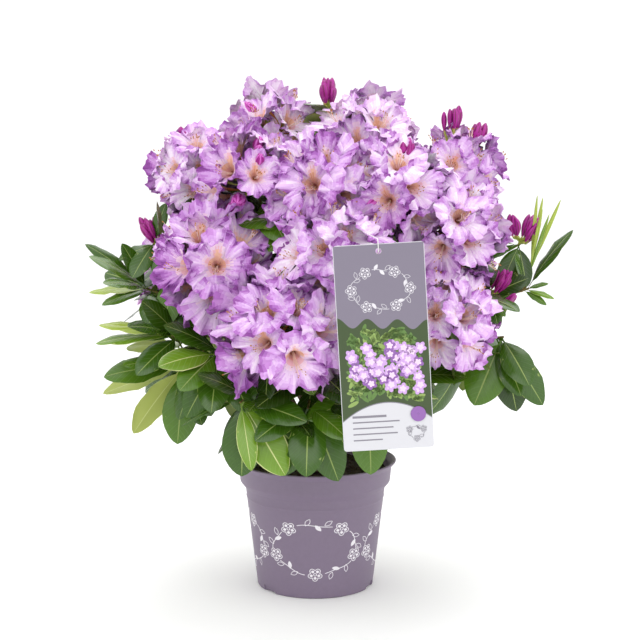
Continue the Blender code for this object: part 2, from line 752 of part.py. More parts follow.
def make_label(collection, cutters, looks, tie):
    """The card with its punched hole, and the tie that it hangs by."""
    frame = label_frame()
    shape = bmesh.new()
    bmesh.ops.create_cube(shape, size=1)
    bmesh.ops.scale(shape, vec=(LABEL_WIDTH, LABEL_THICKNESS, LABEL_HEIGHT), verts=shape.verts)
    bmesh.ops.translate(shape, vec=(0, 0, -LABEL_HEIGHT / 2), verts=shape.verts)
    card = add_object("label", mesh_of("label", shape), collection)
    card.matrix_world = frame
    shape = bmesh.new()
    bmesh.ops.create_cone(
        shape,
        cap_ends=True,
        segments=12,
        radius1=HOLE_RADIUS,
        radius2=HOLE_RADIUS,
        depth=HOLE_DROP,
        matrix=Matrix.Translation((0, 0, -HOLE_DROP)) @ Matrix.Rotation(math.pi / 2, 4, "X"),
    )
    punch = add_object("punch", mesh_of("punch", shape), cutters)
    punch.matrix_world = frame
    punch.hide_render = True
    punch.display_type = "WIRE"
    cut(card, punch)
    card.data.materials.append(looks["label"])
    loop = tube("label_tie", tie.points[:-1], tie.radii, collection, cyclic=True)
    loop.data.materials.append(looks["tie"])


def main():
    """Builds the whole plant and its pot."""
    clear_scene()
    plant = make_collection("rhododendron")
    cutters = make_collection("cutters", hidden=True)
    looks = {
        "pot": make_material("pot_plastic", (0.23, 0.18, 0.25), 0.45),
        "soil": make_material("peat", (0.02, 0.012, 0.008), 0.95),
        "bark": make_material("bark", (0.16, 0.10, 0.06), 0.8),
        "foliage": make_material("foliage", (0.30, 0.24, 0.36), 0.5),
        "label": make_material("card", (0.55, 0.50, 0.58), 0.4),
        "tie": make_material("tie", (0.8, 0.8, 0.8), 0.4),
    }
    shoots = lay_out_shoots()
    trunk = lay_out_trunk()
    boughs = lay_out_boughs(shoots)
    twigs = lay_out_twigs(shoots, boughs)
    tie = lay_out_tie(twigs)
    limbs = [trunk, tie, *boughs.values(), *(limb for group in twigs.values() for limb in group)]
    make_pot(plant, cutters, looks)
    make_soil(plant, looks)
    make_limbs(trunk, boughs, plant, cutters, looks)
    make_label(plant, cutters, looks, tie)
    grower = Grower(Room(shoots, limbs), looks, plant)
    for i, mass in enumerate(MASSES):
        grower.grow(mass, [s for s in shoots if s.mass == mass], twigs[mass], SEED + i)


main()
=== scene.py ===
"""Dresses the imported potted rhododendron: bark, whorled leaves, ruffled lilac flowers and magenta
buds that grow on from its limbs, a moulded nursery pot with a white garland print, a root ball
and a hanging picture label, in a plain pale studio. Metres, +Z up, the front towards -Y.
"""

from __future__ import annotations

import logging
import math
from collections.abc import Callable
from dataclasses import dataclass, field, replace
from enum import Enum, IntEnum

import bpy
import numpy as np
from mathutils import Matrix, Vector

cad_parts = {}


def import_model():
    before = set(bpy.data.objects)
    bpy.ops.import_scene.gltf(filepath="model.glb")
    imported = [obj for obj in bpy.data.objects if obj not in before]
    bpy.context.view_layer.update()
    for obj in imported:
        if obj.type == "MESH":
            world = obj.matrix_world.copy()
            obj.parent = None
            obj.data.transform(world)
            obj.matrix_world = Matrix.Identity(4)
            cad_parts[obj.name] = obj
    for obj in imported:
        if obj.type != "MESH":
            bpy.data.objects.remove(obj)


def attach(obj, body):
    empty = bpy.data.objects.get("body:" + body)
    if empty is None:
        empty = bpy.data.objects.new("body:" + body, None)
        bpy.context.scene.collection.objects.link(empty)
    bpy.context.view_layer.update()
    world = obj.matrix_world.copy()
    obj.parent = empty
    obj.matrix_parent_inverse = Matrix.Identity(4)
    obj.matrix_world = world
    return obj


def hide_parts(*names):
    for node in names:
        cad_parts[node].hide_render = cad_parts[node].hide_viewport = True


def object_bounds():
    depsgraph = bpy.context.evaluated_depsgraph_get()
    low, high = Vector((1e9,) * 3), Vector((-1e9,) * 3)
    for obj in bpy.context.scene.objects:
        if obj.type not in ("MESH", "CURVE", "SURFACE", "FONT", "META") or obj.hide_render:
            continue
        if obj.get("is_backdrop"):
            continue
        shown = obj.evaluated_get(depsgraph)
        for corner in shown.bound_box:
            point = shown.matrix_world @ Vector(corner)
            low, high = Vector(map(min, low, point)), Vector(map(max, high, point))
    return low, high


LOG = logging.getLogger("rhododendron")
SEED = 20
UP = np.array([0.0, 0.0, 1.0])
GOLDEN_ANGLE = math.pi * (3 - math.sqrt(5))
MM = 0.001
Array = np.ndarray
Dice = np.random.Generator
# A wave texture of scale 1 repeats each 2 pi / 20 of its coordinate.
WAVE_PERIOD = 2 * math.pi / 20


# Finishes


class Grain(Enum):
    """How the fine relief of a surface runs."""

    CRINKLE = "soft crinkles of thin tissue"
    NERVES = "fine nerves that run out along a petal"
    VEINS = "side veins that slant off a midrib"
    FURROWS = "furrows that run up a stem"
    MOULDED = "the even haze of a mould"
    CRUMBS = "loose crumbs"


def linear(code: str) -> tuple[float, float, float, float]:
    """Turns an sRGB hex colour to the linear one that a shader takes.

    Args:
        code: six hex digits.

    Returns:
        Red, green, blue and an alpha of one.
    """
    shares = [int(code[i : i + 2], 16) / 255 for i in (0, 2, 4)]
    light = [s / 12.92 if s <= 0.04045 else ((s + 0.055) / 1.055) ** 2.4 for s in shares]
    return (*light, 1.0)


def add_node(tree: bpy.types.NodeTree, kind: str, settings: dict, sockets: dict) -> bpy.types.Node:
    """Adds a node with its settings, and fills its sockets.

    Args:
        tree: the material's node tree.
        kind: the node's Blender type.
        settings: properties of the node.
        sockets: a value, or an output to link, for each input by name or number.

    Returns:
        The node.
    """
    node = tree.nodes.new(kind)
    for name, value in settings.items():
        setattr(node, name, value)
    for name, value in sockets.items():
        if isinstance(value, bpy.types.NodeSocket):
            tree.links.new(value, node.inputs[name])
        else:
            node.inputs[name].default_value = value
    return node


@dataclass(frozen=True)
class Finish:
    """What a surface is made of, and how it takes the light.

    Its base colour is plain unless `mottle` names a second one, because a plant's joined pieces
    get their colours face by face, from several finishes.
    """

    name: str
    colour: str
    roughness: float
    grain: Grain
    size_mm: float
    relief_mm: float
    spread: float = 0.08
    mottle: str | None = None
    coat: float = 0.0
    sheen: float = 0.0
    ior: float = 1.45

    def pattern(self, tree: bpy.types.NodeTree) -> bpy.types.NodeSocket:
        """Draws the grain at its real size.

        Args:
            tree: the material's node tree.

        Returns:
            The output that holds the relief, 0 to 1.
        """
        size = self.size_mm * MM
        solid = add_node(tree, "ShaderNodeTexCoord", {}, {}).outputs["Object"]
        flat = add_node(tree, "ShaderNodeUVMap", {"uv_map": Skin.FLAT}, {}).outputs["UV"]
        if self.grain in (Grain.CRINKLE, Grain.MOULDED):
            sockets = {"Vector": solid, "Scale": 1 / size, "Detail": 3.0, "Roughness": 0.55}
            return add_node(tree, "ShaderNodeTexNoise", {}, sockets).outputs[0]
        if self.grain is Grain.CRUMBS:
            sockets = {"Vector": solid, "Scale": 1 / size, "Randomness": 1.0}
            return add_node(tree, "ShaderNodeTexVoronoi", {}, sockets).outputs["Distance"]
        if self.grain is Grain.VEINS:
            # The distance along the leaf, less a slant times the distance from its midrib.
            parts = add_node(tree, "ShaderNodeSeparateXYZ", {}, {0: flat}).outputs
            off = add_node(tree, "ShaderNodeMath", {"operation": "ABSOLUTE"}, {0: parts["X"]})
            slant = {0: off.outputs[0], 1: -0.7, 2: parts["Y"]}
            along = add_node(tree, "ShaderNodeMath", {"operation": "MULTIPLY_ADD"}, slant)
            flat = add_node(tree, "ShaderNodeCombineXYZ", {}, {0: along.outputs[0]}).outputs[0]
        sockets = {
            "Vector": flat,
            "Scale": WAVE_PERIOD / size,
            "Distortion": 2.5 if self.grain is Grain.FURROWS else 1.2,
            "Detail": 3.0,
            "Detail Scale": 0.6,
        }
        return add_node(tree, "ShaderNodeTexWave", {}, sockets).outputs["Fac"]

    def material(self) -> bpy.types.Material:
        """The material, made the first time that it is asked for.

        Returns:
            A procedural material of one principled shader.
        """
        found = bpy.data.materials.get(self.name)
        if found:
            return found
        material = bpy.data.materials.new(self.name)
        material.use_nodes = True
        material.diffuse_color = linear(self.colour)
        tree = material.node_tree
        tree.nodes.clear()
        relief = self.pattern(tree)
        rough = {
            "Value": relief,
            "To Min": max(self.roughness - self.spread, 0.02),
            "To Max": min(self.roughness + self.spread, 1.0),
        }
        rough_node = add_node(tree, "ShaderNodeMapRange", {}, rough)
        bump = {"Height": relief, "Distance": self.relief_mm * MM, "Strength": 1.0}
        bump_node = add_node(tree, "ShaderNodeBump", {}, bump)
        sockets = {
            "Base Color": linear(self.colour),
            "Roughness": rough_node.outputs[0],
            "Normal": bump_node.outputs[0],
            "IOR": self.ior,
            "Coat Weight": self.coat,
            "Coat Roughness": 0.25,
            "Sheen Weight": self.sheen,
        }
        if self.mottle:
            mix = {6: linear(self.colour), 7: linear(self.mottle), 0: relief}
            settings = {"data_type": "RGBA"}
            sockets["Base Color"] = add_node(tree, "ShaderNodeMix", settings, mix).outputs[2]
        shader = add_node(tree, "ShaderNodeBsdfPrincipled", {}, sockets)
        add_node(tree, "ShaderNodeOutputMaterial", {}, {"Surface": shader.outputs[0]})
        return material


def petal(name: str, colour: str) -> Finish:
    """Petal tissue: velvety and matt, with nerves about 2 mm apart that catch the light."""
    return Finish(name, colour, 0.60, Grain.NERVES, 2.2, 0.25, sheen=0.08)


def blade(name: str, colour: str, roughness: float = 0.25) -> Finish:
    """A waxed leathery leaf, which shines broadly between side veins about 7 mm apart."""
    return Finish(name, colour, roughness, Grain.VEINS, 7.0, 0.004, 0.03, coat=0.35, ior=1.4)


def scale(name: str, colour: str, roughness: float, coat: float) -> Finish:
    """A bud's scale, taut and a little glossy."""
    return Finish(name, colour, roughness, Grain.CRINKLE, 2.0, 0.15, coat=coat)


def printed(name: str, colour: str) -> Finish:
    """Card of polystyrene sheet, and the ink on it: smooth, under a satin film."""
    return Finish(name, colour, 0.38, Grain.MOULDED, 8.0, 0.03, ior=1.55)


def family(make: Callable[..., Finish], first: str, **colours: str) -> tuple[Finish, ...]:
    """Finishes of one make, each named by that first word and its own, in the order given."""
    return tuple(make(f"{first}_{name}", colour) for name, colour in colours.items())


# From the pale middle of a lobe to its edge; the paler ones also go on its ridges as painted
# highlight, the deeper ones in its folds as painted shade.
PETALS = family(
    petal, "petal", pearl="F8EFFA", blush="F1DFF3", pale_lilac="E9CDEE", lilac="DFBAE7",
    orchid="D3A5DF", lavender="C58BD1", violet="AF6DBE", purple="954FA1",
)
# From the bottom of the tube outwards, and the flare on the upper lobe.
THROATS = family(
    petal, "throat", terracotta="D88B74", rose="EFAFA8", dusky_pink="F2C2CC", blush="F4D8E8",
) + family(petal, "flare", apricot="F8C8AA", tan="EDAE86")
Throat = IntEnum("Throat", "TERRACOTTA ROSE DUSKY_PINK BLUSH APRICOT TAN", start=len(PETALS))
# Leaf tops, from old leaves to new ones.
TOPS = family(
    blade, "leaf", deep_green="274209", dark_green="375A0F", green="4D7317",
    bright_green="6E9229", lime="9DB23D",
)
RIBS = (blade("midrib_green", "8FA356", 0.5), blade("midrib_yellow", "CBD48C", 0.5))
UNDERS = (blade("leaf_under_pale", "8C9F50", 0.62), blade("leaf_under_lime", "AEBB5E", 0.6))
# From the foot of a bud to plum, magenta and orchid: plum in its creases is painted shade, orchid
# on its ridges painted highlight.
BUDS = (
    scale("bud_straw", "D3B070", 0.5, 0.0),
    scale("bud_plum", "7A0E58", 0.42, 0.15),
    scale("bud_magenta", "A6208C", 0.42, 0.15),
    scale("bud_orchid", "D66AC8", 0.45, 0.15),
)
# Thin juicy stalks, which shine softly.
FILAMENT = Finish("filament_cream", "F5DCCB", 0.45, Grain.CRINKLE, 1.0, 0.05)
ANTHER = Finish("anther_tan", "B57B45", 0.7, Grain.CRINKLE, 0.8, 0.1)
STALK = Finish("stalk_russet", "B7702F", 0.55, Grain.CRINKLE, 1.5, 0.1)
STALK_GREEN = Finish("stalk_green", "A3AE4C", 0.55, Grain.CRINKLE, 1.5, 0.1)
# Corky bark: matt, furrowed lengthwise each 3 mm.
BARK = Finish("bark_grey_brown", "6E5A45", 0.9, Grain.FURROWS, 3.0, 0.8, mottle="3F3022")
YOUNG_BARK = Finish("bark_young_green", "6F7433", 0.7, Grain.FURROWS, 1.6, 0.2, mottle="7D5A32")
# Injection-moulded polypropylene: a dull plum-grey skin with a fine haze and a soft broad sheen.
POT_PLASTIC = Finish(
    "pot_polypropylene", "76687D", 0.5, Grain.MOULDED, 6.0, 0.06, mottle="7E7085", ior=1.49
)
# Screen-printed ink: thin, white and matt.
INK = Finish("print_white_ink", "E6E2E8", 0.6, Grain.MOULDED, 1.5, 0.03)
# Damp peat: near-black crumbs of a few millimetres, with paler fibres and chips of bark.
PEAT = Finish("peat_dark", "241A14", 0.95, Grain.CRUMBS, 4.0, 1.5, mottle="3B2A1E")
CHIP = Finish("bark_chip", "4A3322", 0.9, Grain.CRINKLE, 2.0, 0.3, mottle="2A1C14")
CARD = printed("label_card_white", "CCCCD1")
PRINTS = family(
    printed, "label_print", mauve="797282", grey="7F7C86", green="34471F", leaf="86A053",
    moss="587A36", lilac="C79FD8", pink="E7CBEA", purple="8A5BA3", white="D9D6DC",
)
Tint = IntEnum("Tint", "MAUVE GREY GREEN LEAF MOSS LILAC PINK PURPLE WHITE", start=0)
# Soft nylon cord: translucent white, slightly glossy.
TIE_NYLON = Finish("tie_nylon_white", "EDEDEA", 0.35, Grain.CRINKLE, 2.0, 0.05)
PAPER = Finish("studio_paper_white", "FDFDFD", 0.9, Grain.MOULDED, 40.0, 0.05)


# Shapes worked out as whole arrays


def unit(vectors: Array) -> Array:
    """The vectors along the last axis, each one long."""
    return vectors / np.linalg.norm(vectors, axis=-1, keepdims=True)


def xyz(x: Array, y: Array, z: Array) -> Array:
    """Points that have these coordinates, spread to one shape."""
    return np.stack(np.broadcast_arrays(x, y, z), axis=-1)


def full_turn(count: int) -> Array:
    """That many even angles round a full turn, from 0."""
    return np.arange(count) * 2 * math.pi / count


def walked(line: Array) -> Array:
    """How far along a line of points each of them lies."""
    return np.concatenate([[0.0], np.cumsum(np.linalg.norm(np.diff(line, axis=0), axis=1))])


def resampled(line: Array, places: Array | float, marks: Array) -> Array:
    """Points at these places of a line whose own points lie at the marks, by straight steps."""
    return np.stack([np.interp(places, marks, axis) for axis in line.T], axis=-1)


def ease(low: float, high: float, x: Array) -> Array:
    """A smooth step from 0 at low to 1 at high: 3t^2 - 2t^3."""
    t = np.clip((x - low) / (high - low), 0, 1)
    return t * t * (3 - 2 * t)


def bend(start: Array, control: Array, end: Array, count: int) -> Array:
    """Points on quadratic curves: (1-t)^2 start + 2t(1-t) control + t^2 end.

    Args:
        start: first points, shaped (..., 3).
        control: points that the curves lean towards.
        end: last points.
        count: how many points each curve gets.

    Returns:
        Points shaped (..., count, 3).
    """
    t = np.linspace(0, 1, count)[:, None]
    start, control, end = start[..., None, :], control[..., None, :], end[..., None, :]
    return (1 - t) ** 2 * start + 2 * t * (1 - t) * control + t**2 * end


def clock_way(clock: Array, lean: Array) -> Array:
    """Ways cos(lean) (sin(clock) X + cos(clock) Z) - sin(lean) Y, for angles in radians."""
    return xyz(np.cos(lean) * np.sin(clock), -np.sin(lean), np.cos(lean) * np.cos(clock))


def frames_towards(directions: Array, upwards: Array) -> Array:
    """Frames whose columns are the direction, its side, and the normal nearest to upwards.

    Args:
        directions: unit vectors, shaped (..., 3).
        upwards: a unit vector, or one for each direction.

    Returns:
        Matrices shaped (..., 3, 3).
    """
    tilted = upwards + np.array([0.0, 1e-4, 0.0])
    share = (directions * tilted).sum(-1, keepdims=True)
    normals = unit(tilted - directions * share)
    return np.stack([directions, np.cross(normals, directions), normals], axis=-1)


def carried(points: Array, frames: Array, origins: Array, sizes: Array) -> Array:
    """Local shapes put in their places: origin + size * frame * point.

    Args:
        points: shaped (pieces, rows, columns, 3).
        frames: one 3x3 matrix a piece, or one to each few pieces that follow each other.
        origins: as many points.
        sizes: as many numbers.

    Returns:
        Points of the same shape.
    """
    each = len(points) // len(origins)
    frames, origins, sizes = (np.repeat(part, each, 0) for part in (frames, origins, sizes))
    turned_points = np.einsum("nij,nuvj->nuvi", frames, points)
    return origins[:, None, None] + sizes[:, None, None, None] * turned_points


def sweep(paths: Array, radii: Array, sides: int) -> Array:
    """Tubes: round each point of a path a ring p + r (cos a n + sin a b), square to the path.

    The normal n is the world axis that the path runs along the least, made square to the path,
    and b is the path's direction crossed with n.

    Args:
        paths: shaped (tubes, points, 3).
        radii: shaped (tubes, points), or (tubes, points, sides) for a ring that isn't round.
        sides: points in a ring.

    Returns:
        Grids shaped (tubes, points, sides, 3), to be wrapped.
    """
    ways = unit(np.gradient(paths, axis=1))
    least = np.argmin(np.abs(unit(paths[:, -1] - paths[:, 0])), axis=1)
    seed = np.eye(3)[least][:, None]
    normal = unit(seed - ways * (seed * ways).sum(-1, keepdims=True))
    side = np.cross(ways, normal)
    angle = full_turn(sides)[:, None]
    ring = np.cos(angle) * normal[:, :, None] + np.sin(angle) * side[:, :, None]
    radii = np.broadcast_to(radii[..., None] if radii.ndim == 2 else radii, ring.shape[:3])
    return paths[:, :, None] + radii[..., None] * ring


def turned(profile: Array, steps: int) -> Array:
    """A profile of (radius, height) carried round the Z axis: (r cos a, r sin a, z).

    Args:
        profile: shaped (points, 2), with the solid on its left.
        steps: points in a full turn.

    Returns:
        A grid shaped (1, points, steps, 3), to be wrapped.
    """
    radius, height = profile[:, :1], profile[:, 1:]
    angle = full_turn(steps)
    return xyz(radius * np.cos(angle), radius * np.sin(angle), height)[None]


def rounded(profile: Array, radius: float, steps: int = 4) -> Array:
    """A profile whose inner corners are eased by short quadratic curves.

    Args:
        profile: shaped (points, 2).
        radius: how far along each side a curve starts, capped at 0.4 of the side.
        steps: points on each curve.

    Returns:
        The eased profile, with the first and last points kept.
    """
    here = profile[1:-1]
    back, ahead = profile[:-2] - here, profile[2:] - here
    reach = [np.minimum(radius, 0.4 * np.linalg.norm(v, axis=1))[:, None] for v in (back, ahead)]
    curves = bend(here + unit(back) * reach[0], here, here + unit(ahead) * reach[1], steps)
    return np.vstack([profile[:1], curves.reshape(-1, 2), profile[-1:]])


def band(line: Array, width: Array | float, shares: tuple[float, ...]) -> Array:
    """Lines beside a flat one: p + share * width / 2 * its normal to the right.

    Args:
        line: shaped (points, 2).
        width: one width, or one for each point.
        shares: where across the width each new line runs, from -1 to 1.

    Returns:
        Points shaped (points, shares, 2).
    """
    ways = unit(np.gradient(line, axis=0))
    side = np.stack([ways[:, 1], -ways[:, 0]], axis=1)
    side = side * np.broadcast_to(width, len(line))[:, None] / 2
    return np.stack([line + side * share for share in shares], axis=1)


@dataclass
class Skin:
    """Grids of points gathered into one mesh, each face with a finish of its own."""

    FLAT = "flat"

    name: str
    finishes: tuple[Finish, ...]
    points: list[Array] = field(default_factory=list)
    flats: list[Array] = field(default_factory=list)
    faces: list[Array] = field(default_factory=list)
    slots: list[Array] = field(default_factory=list)
    filled: int = 0

    def keep(self, corners: Array, slots: Array) -> None:
        """Notes faces of three or four corners, and the finish of each."""
        self.faces.append(corners.reshape(-1, corners.shape[-1]))
        self.slots.append(np.broadcast_to(slots, corners.shape[:-1]).reshape(-1))

    def add(
        self,
        grids: Array,
        slots: Array | int = 0,
        flat: Array | None = None,
        wrap: bool = False,
        capped: bool = False,
        flip: bool = False,
    ) -> None:
        """Adds grids of points as sheets or tubes.

        Args:
            grids: shaped (pieces, rows, columns, 3).
            slots: the finish of each face, to be spread over (pieces, rows - 1, faces a row).
            flat: where each point lies on the surface, across and along, in metres.
            wrap: whether the last column joins the first.
            capped: whether a fan closes each end row, which is a ring.
            flip: whether the faces are to point the other way.
        """
        pieces, rows, columns, _ = grids.shape
        here = np.arange(pieces * rows * columns).reshape(pieces, rows, columns) + self.filled
        beside = np.roll(here, -1, axis=2)
        if not wrap:
            here, beside = here[:, :, :-1], beside[:, :, :-1]
        corners = np.stack([here[:, :-1], beside[:, :-1], beside[:, 1:], here[:, 1:]], axis=-1)
        slots = np.broadcast_to(slots, corners.shape[:-1])
        self.keep(corners[..., ::-1] if flip else corners, slots)
        if flat is None:
            flat = np.zeros(grids.shape[:-1] + (2,))
        self.points.append(grids.reshape(-1, 3))
        self.flats.append(np.broadcast_to(flat, grids.shape[:-1] + (2,)).reshape(-1, 2))
        self.filled += pieces * rows * columns
        if not capped:
            return
        for row, order in ((0, (0, 2, 1)), (-1, (0, 1, 2))):
            poles = np.arange(pieces)[:, None] + self.filled + np.zeros_like(here[:, row])
            fan = np.stack([poles, here[:, row], beside[:, row]], axis=-1)[..., order]
            self.keep(fan[..., ::-1] if flip else fan, slots[:, row])
            self.points.append(grids[:, row].mean(axis=1))
            self.flats.append(np.zeros((pieces, 2)))
            self.filled += pieces

    def tubes(self, paths: Array, radii: Array, sides: int, slot: int = 0) -> None:
        """Adds closed tubes, as sweep makes them."""
        self.add(sweep(paths, radii, sides), slot, wrap=True, capped=True)

    def build(self, crease: float = 60.0) -> bpy.types.Object:
        """Makes the object: welds points that coincide, and shades it smooth but for creases.

        Args:
            crease: angle between faces, in degrees, over which their edge stays sharp.

        Returns:
            The object, at the origin.
        """
        points = np.concatenate(self.points)
        flats = np.concatenate(self.flats)
        key = np.round(points * 1e7).astype(np.int64)
        _, first, index = np.unique(key, axis=0, return_index=True, return_inverse=True)
        index = index.reshape(-1)
        corners = np.concatenate([faces.reshape(-1) for faces in self.faces])
        lengths = np.concatenate([np.full(len(f), f.shape[1]) for f in self.faces])
        starts = np.cumsum(lengths) - lengths
        mesh = bpy.data.meshes.new(self.name)
        mesh.vertices.add(len(first))
        mesh.vertices.foreach_set("co", points[first].astype(np.float32).ravel())
        mesh.loops.add(len(corners))
        mesh.loops.foreach_set("vertex_index", index[corners].astype(np.int32))
        mesh.polygons.add(len(starts))
        mesh.polygons.foreach_set("loop_start", starts.astype(np.int32))
        mesh.polygons.foreach_set("material_index", np.concatenate(self.slots).astype(np.int32))
        layer = mesh.uv_layers.new(name=self.FLAT)
        layer.data.foreach_set("uv", flats[corners].astype(np.float32).ravel())
        mesh.update(calc_edges=True)
        mesh.validate()
        mesh.shade_smooth()
        mesh.set_sharp_from_angle(angle=math.radians(crease))
        for finish in self.finishes:
            mesh.materials.append(finish.material())
        piece = bpy.data.objects.new(self.name, mesh)
        bpy.context.scene.collection.objects.link(piece)
        return piece


def settle(skin: Skin, nodes: list[str], crease: float = 60.0) -> bpy.types.Object:
    """Builds a piece, lets it ride on the body, and lets it stand for its CAD nodes.

    Args:
        skin: the gathered surface.
        nodes: CAD nodes that it stands for.
        crease: angle over which an edge stays sharp.

    Returns:
        The piece.
    """
    piece = skin.build(crease)
    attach(piece, "root")
    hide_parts(*nodes)
    faces = sum(polygon.loop_total - 2 for polygon in piece.data.polygons)
    LOG.info("%s: %d triangles, stands for %d nodes", piece.name, faces, len(nodes))
    return piece


# How the plant grows: the source's own rule


class Habit(Enum):
    """What a shoot ends in."""

    BLOOM = "an open truss of flowers"
    BUD = "a truss of buds"
    LEAFY = "leaves only"


class Sector(Enum):
    """A share of the crown that is joined into pieces of its own."""

    TOP = "top"
    LEFT = "left"
    RIGHT = "right"
    BACK_LEFT = "back_left"
    BACK_RIGHT = "back_right"


BLOOM, BUD, LEAFY = Habit.BLOOM, Habit.BUD, Habit.LEAFY
# Each mass of foliage and its shoots: what they end in, the azimuth (0 the front, 90 the right)
# and elevation in degrees, and the reach in metres from the crown's centre.
MASSES: dict[str, tuple[tuple[Habit, float, float, float], ...]] = {
    "crown_top": ((BLOOM, -115, 76, 0.275), (BLOOM, 66, 73, 0.258), (BUD, 172, 80, 0.300)),
    "upper_left": ((BLOOM, -80, 51, 0.275), (BLOOM, -42, 55, 0.240)),
    "upper_right": ((BLOOM, 96, 47, 0.275), (BLOOM, 40, 52, 0.240)),
    "front_centre": ((BLOOM, 1, 58, 0.228), (BLOOM, 5, 32, 0.205)),
    "front_low": ((BLOOM, -15, 3, 0.205), (LEAFY, -31, -23, 0.213), (LEAFY, -6, -28, 0.190)),
    "left": ((BLOOM, -49, 26, 0.212), (BUD, -90, 25, 0.262), (LEAFY, -88, 10, 0.245)),
    "left_low": ((LEAFY, -70, -4, 0.206), (LEAFY, -76, -17, 0.203), (LEAFY, -46, -9, 0.187)),
    "right": ((BLOOM, 60, 34, 0.240), (BUD, 91, 21, 0.300), (LEAFY, 91, 8, 0.282)),
    "right_low": ((BLOOM, 49, 6, 0.212), (BUD, 73, 10, 0.245), (LEAFY, 75, -4, 0.245)),
    "front_right": ((LEAFY, 20, -28, 0.180), (LEAFY, 40, -22, 0.165)),
    "back_upper": ((BLOOM, 180, 56, 0.250), (BUD, -155, 38, 0.275)),
    "back_left": ((BLOOM, -128, 41, 0.262), (BLOOM, -118, 12, 0.235), (LEAFY, -104, -14, 0.215)),
    "back_right": ((BLOOM, 138, 42, 0.258), (BLOOM, 126, 12, 0.235), (LEAFY, 112, -8, 0.220)),
    "back_centre": ((BLOOM, 178, 24, 0.225), (LEAFY, 172, -8, 0.215)),
    "back_low": ((BLOOM, -154, -4, 0.210), (LEAFY, -146, -26, 0.205), (LEAFY, 146, -16, 0.205)),
}


@dataclass(frozen=True)
class Growth:
    """How one truss differs from the rest: its size, the cap that its flowers cover in degrees, how
    far they stand to the right and up, and how much deeper its colour is: above 0 it is painted
    shade, below 0 painted light."""

    size: float = 1.0
    cap: float = 106.0
    right_mm: float = 0.0
    up_mm: float = 0.0
    # Painted shade when above 0, painted light when below.
    depth: float = 0.0

    @staticmethod
    def of(shoot: Shoot) -> Growth:
        """The growth of a shoot's truss."""
        return GROWTHS.get((shoot.mass, shoot.place), Growth())

    def shift(self) -> Array:
        """How far the truss stands off its shoot, in metres."""
        return np.array([self.right_mm, 0.0, self.up_mm]) * MM


# Trusses that the front shows larger, smaller or shifted than the rest, and those with painted
# shade (deeper) and painted light (paler), by mass and place.
GROWTHS: dict[tuple[str, int], Growth] = {
    ("crown_top", 0): Growth(0.98, 112.0, -12, -11, -0.17),
    ("crown_top", 1): Growth(right_mm=-5, depth=-0.12),
    ("upper_left", 0): Growth(0.92, 116.0, -1, -5, -0.06),
    ("upper_left", 1): Growth(right_mm=-4, up_mm=4, depth=-0.03),
    ("upper_right", 0): Growth(0.92, 112.0, 1, 2, -0.02),
    ("front_centre", 0): Growth(depth=0.09),
    ("front_centre", 1): Growth(depth=0.11),
    ("front_low", 0): Growth(1.16, 116.0, depth=0.13),
    ("right", 0): Growth(depth=0.05),
    ("left", 0): Growth(1.14, 114.0, depth=0.02),
    ("left", 1): Growth(right_mm=8, up_mm=-3),
}
# Tight bunches of buds among the flowers: the way each points as the hand of a clock would, how
# far it comes to the front, in degrees, and how far from the shoot it begins, in millimetres.
BUNCHES: dict[tuple[str, int], tuple[tuple[float, float, float], ...]] = {
    ("crown_top", 0): ((-78, 48, 40),),
    ("upper_left", 0): ((-24, 8, 34),),
    ("upper_right", 0): ((-3, 4, 62), (34, 6, 48)),
    ("upper_right", 1): ((24, 30, 40),),
    ("right", 1): ((-42, 25, 14), (56, 12, 12)),
    ("right_low", 1): ((150, 30, 24),),
}
SECTORS = {
    Sector.TOP: ["crown_top", "front_centre", "back_upper"],
    Sector.LEFT: ["upper_left", "left", "left_low", "front_low"],
    Sector.RIGHT: ["upper_right", "right", "right_low", "front_right"],
    Sector.BACK_LEFT: ["back_left", "back_low"],
    Sector.BACK_RIGHT: ["back_right", "back_centre"],
}


@dataclass
class Limb:
    """A trunk, bough, stem or twig: its middle line and the radius at each point of it."""

    points: Array
    radii: Array

    def below(self, drop: float) -> Array:
        """The point on the middle line that far below the tip, measured along it."""
        line = self.points[::-1]
        return resampled(line, drop, walked(line))

    def feet(self, drop: float, step: float, count: int) -> Array:
        """That many points on it, the first as far below the tip as drop, each a step lower."""
        return np.array([self.below(drop + step * i) for i in range(count)])


@dataclass
class Shoot:
    """One growing tip: its mass, what it ends in, its place, its way and the twig below it."""

    mass: str
    place: int
    habit: Habit
    tip: Array
    axis: Array
    number: int
    twig: Limb | None = None

    def beside(self, angle: Array) -> Array:
        """Ways square to the axis: cos(angle) side + sin(angle) normal, of the axis's frame."""
        base = frames_towards(self.axis, UP)
        return base[:, 1] * np.cos(angle)[..., None] + base[:, 2] * np.sin(angle)[..., None]


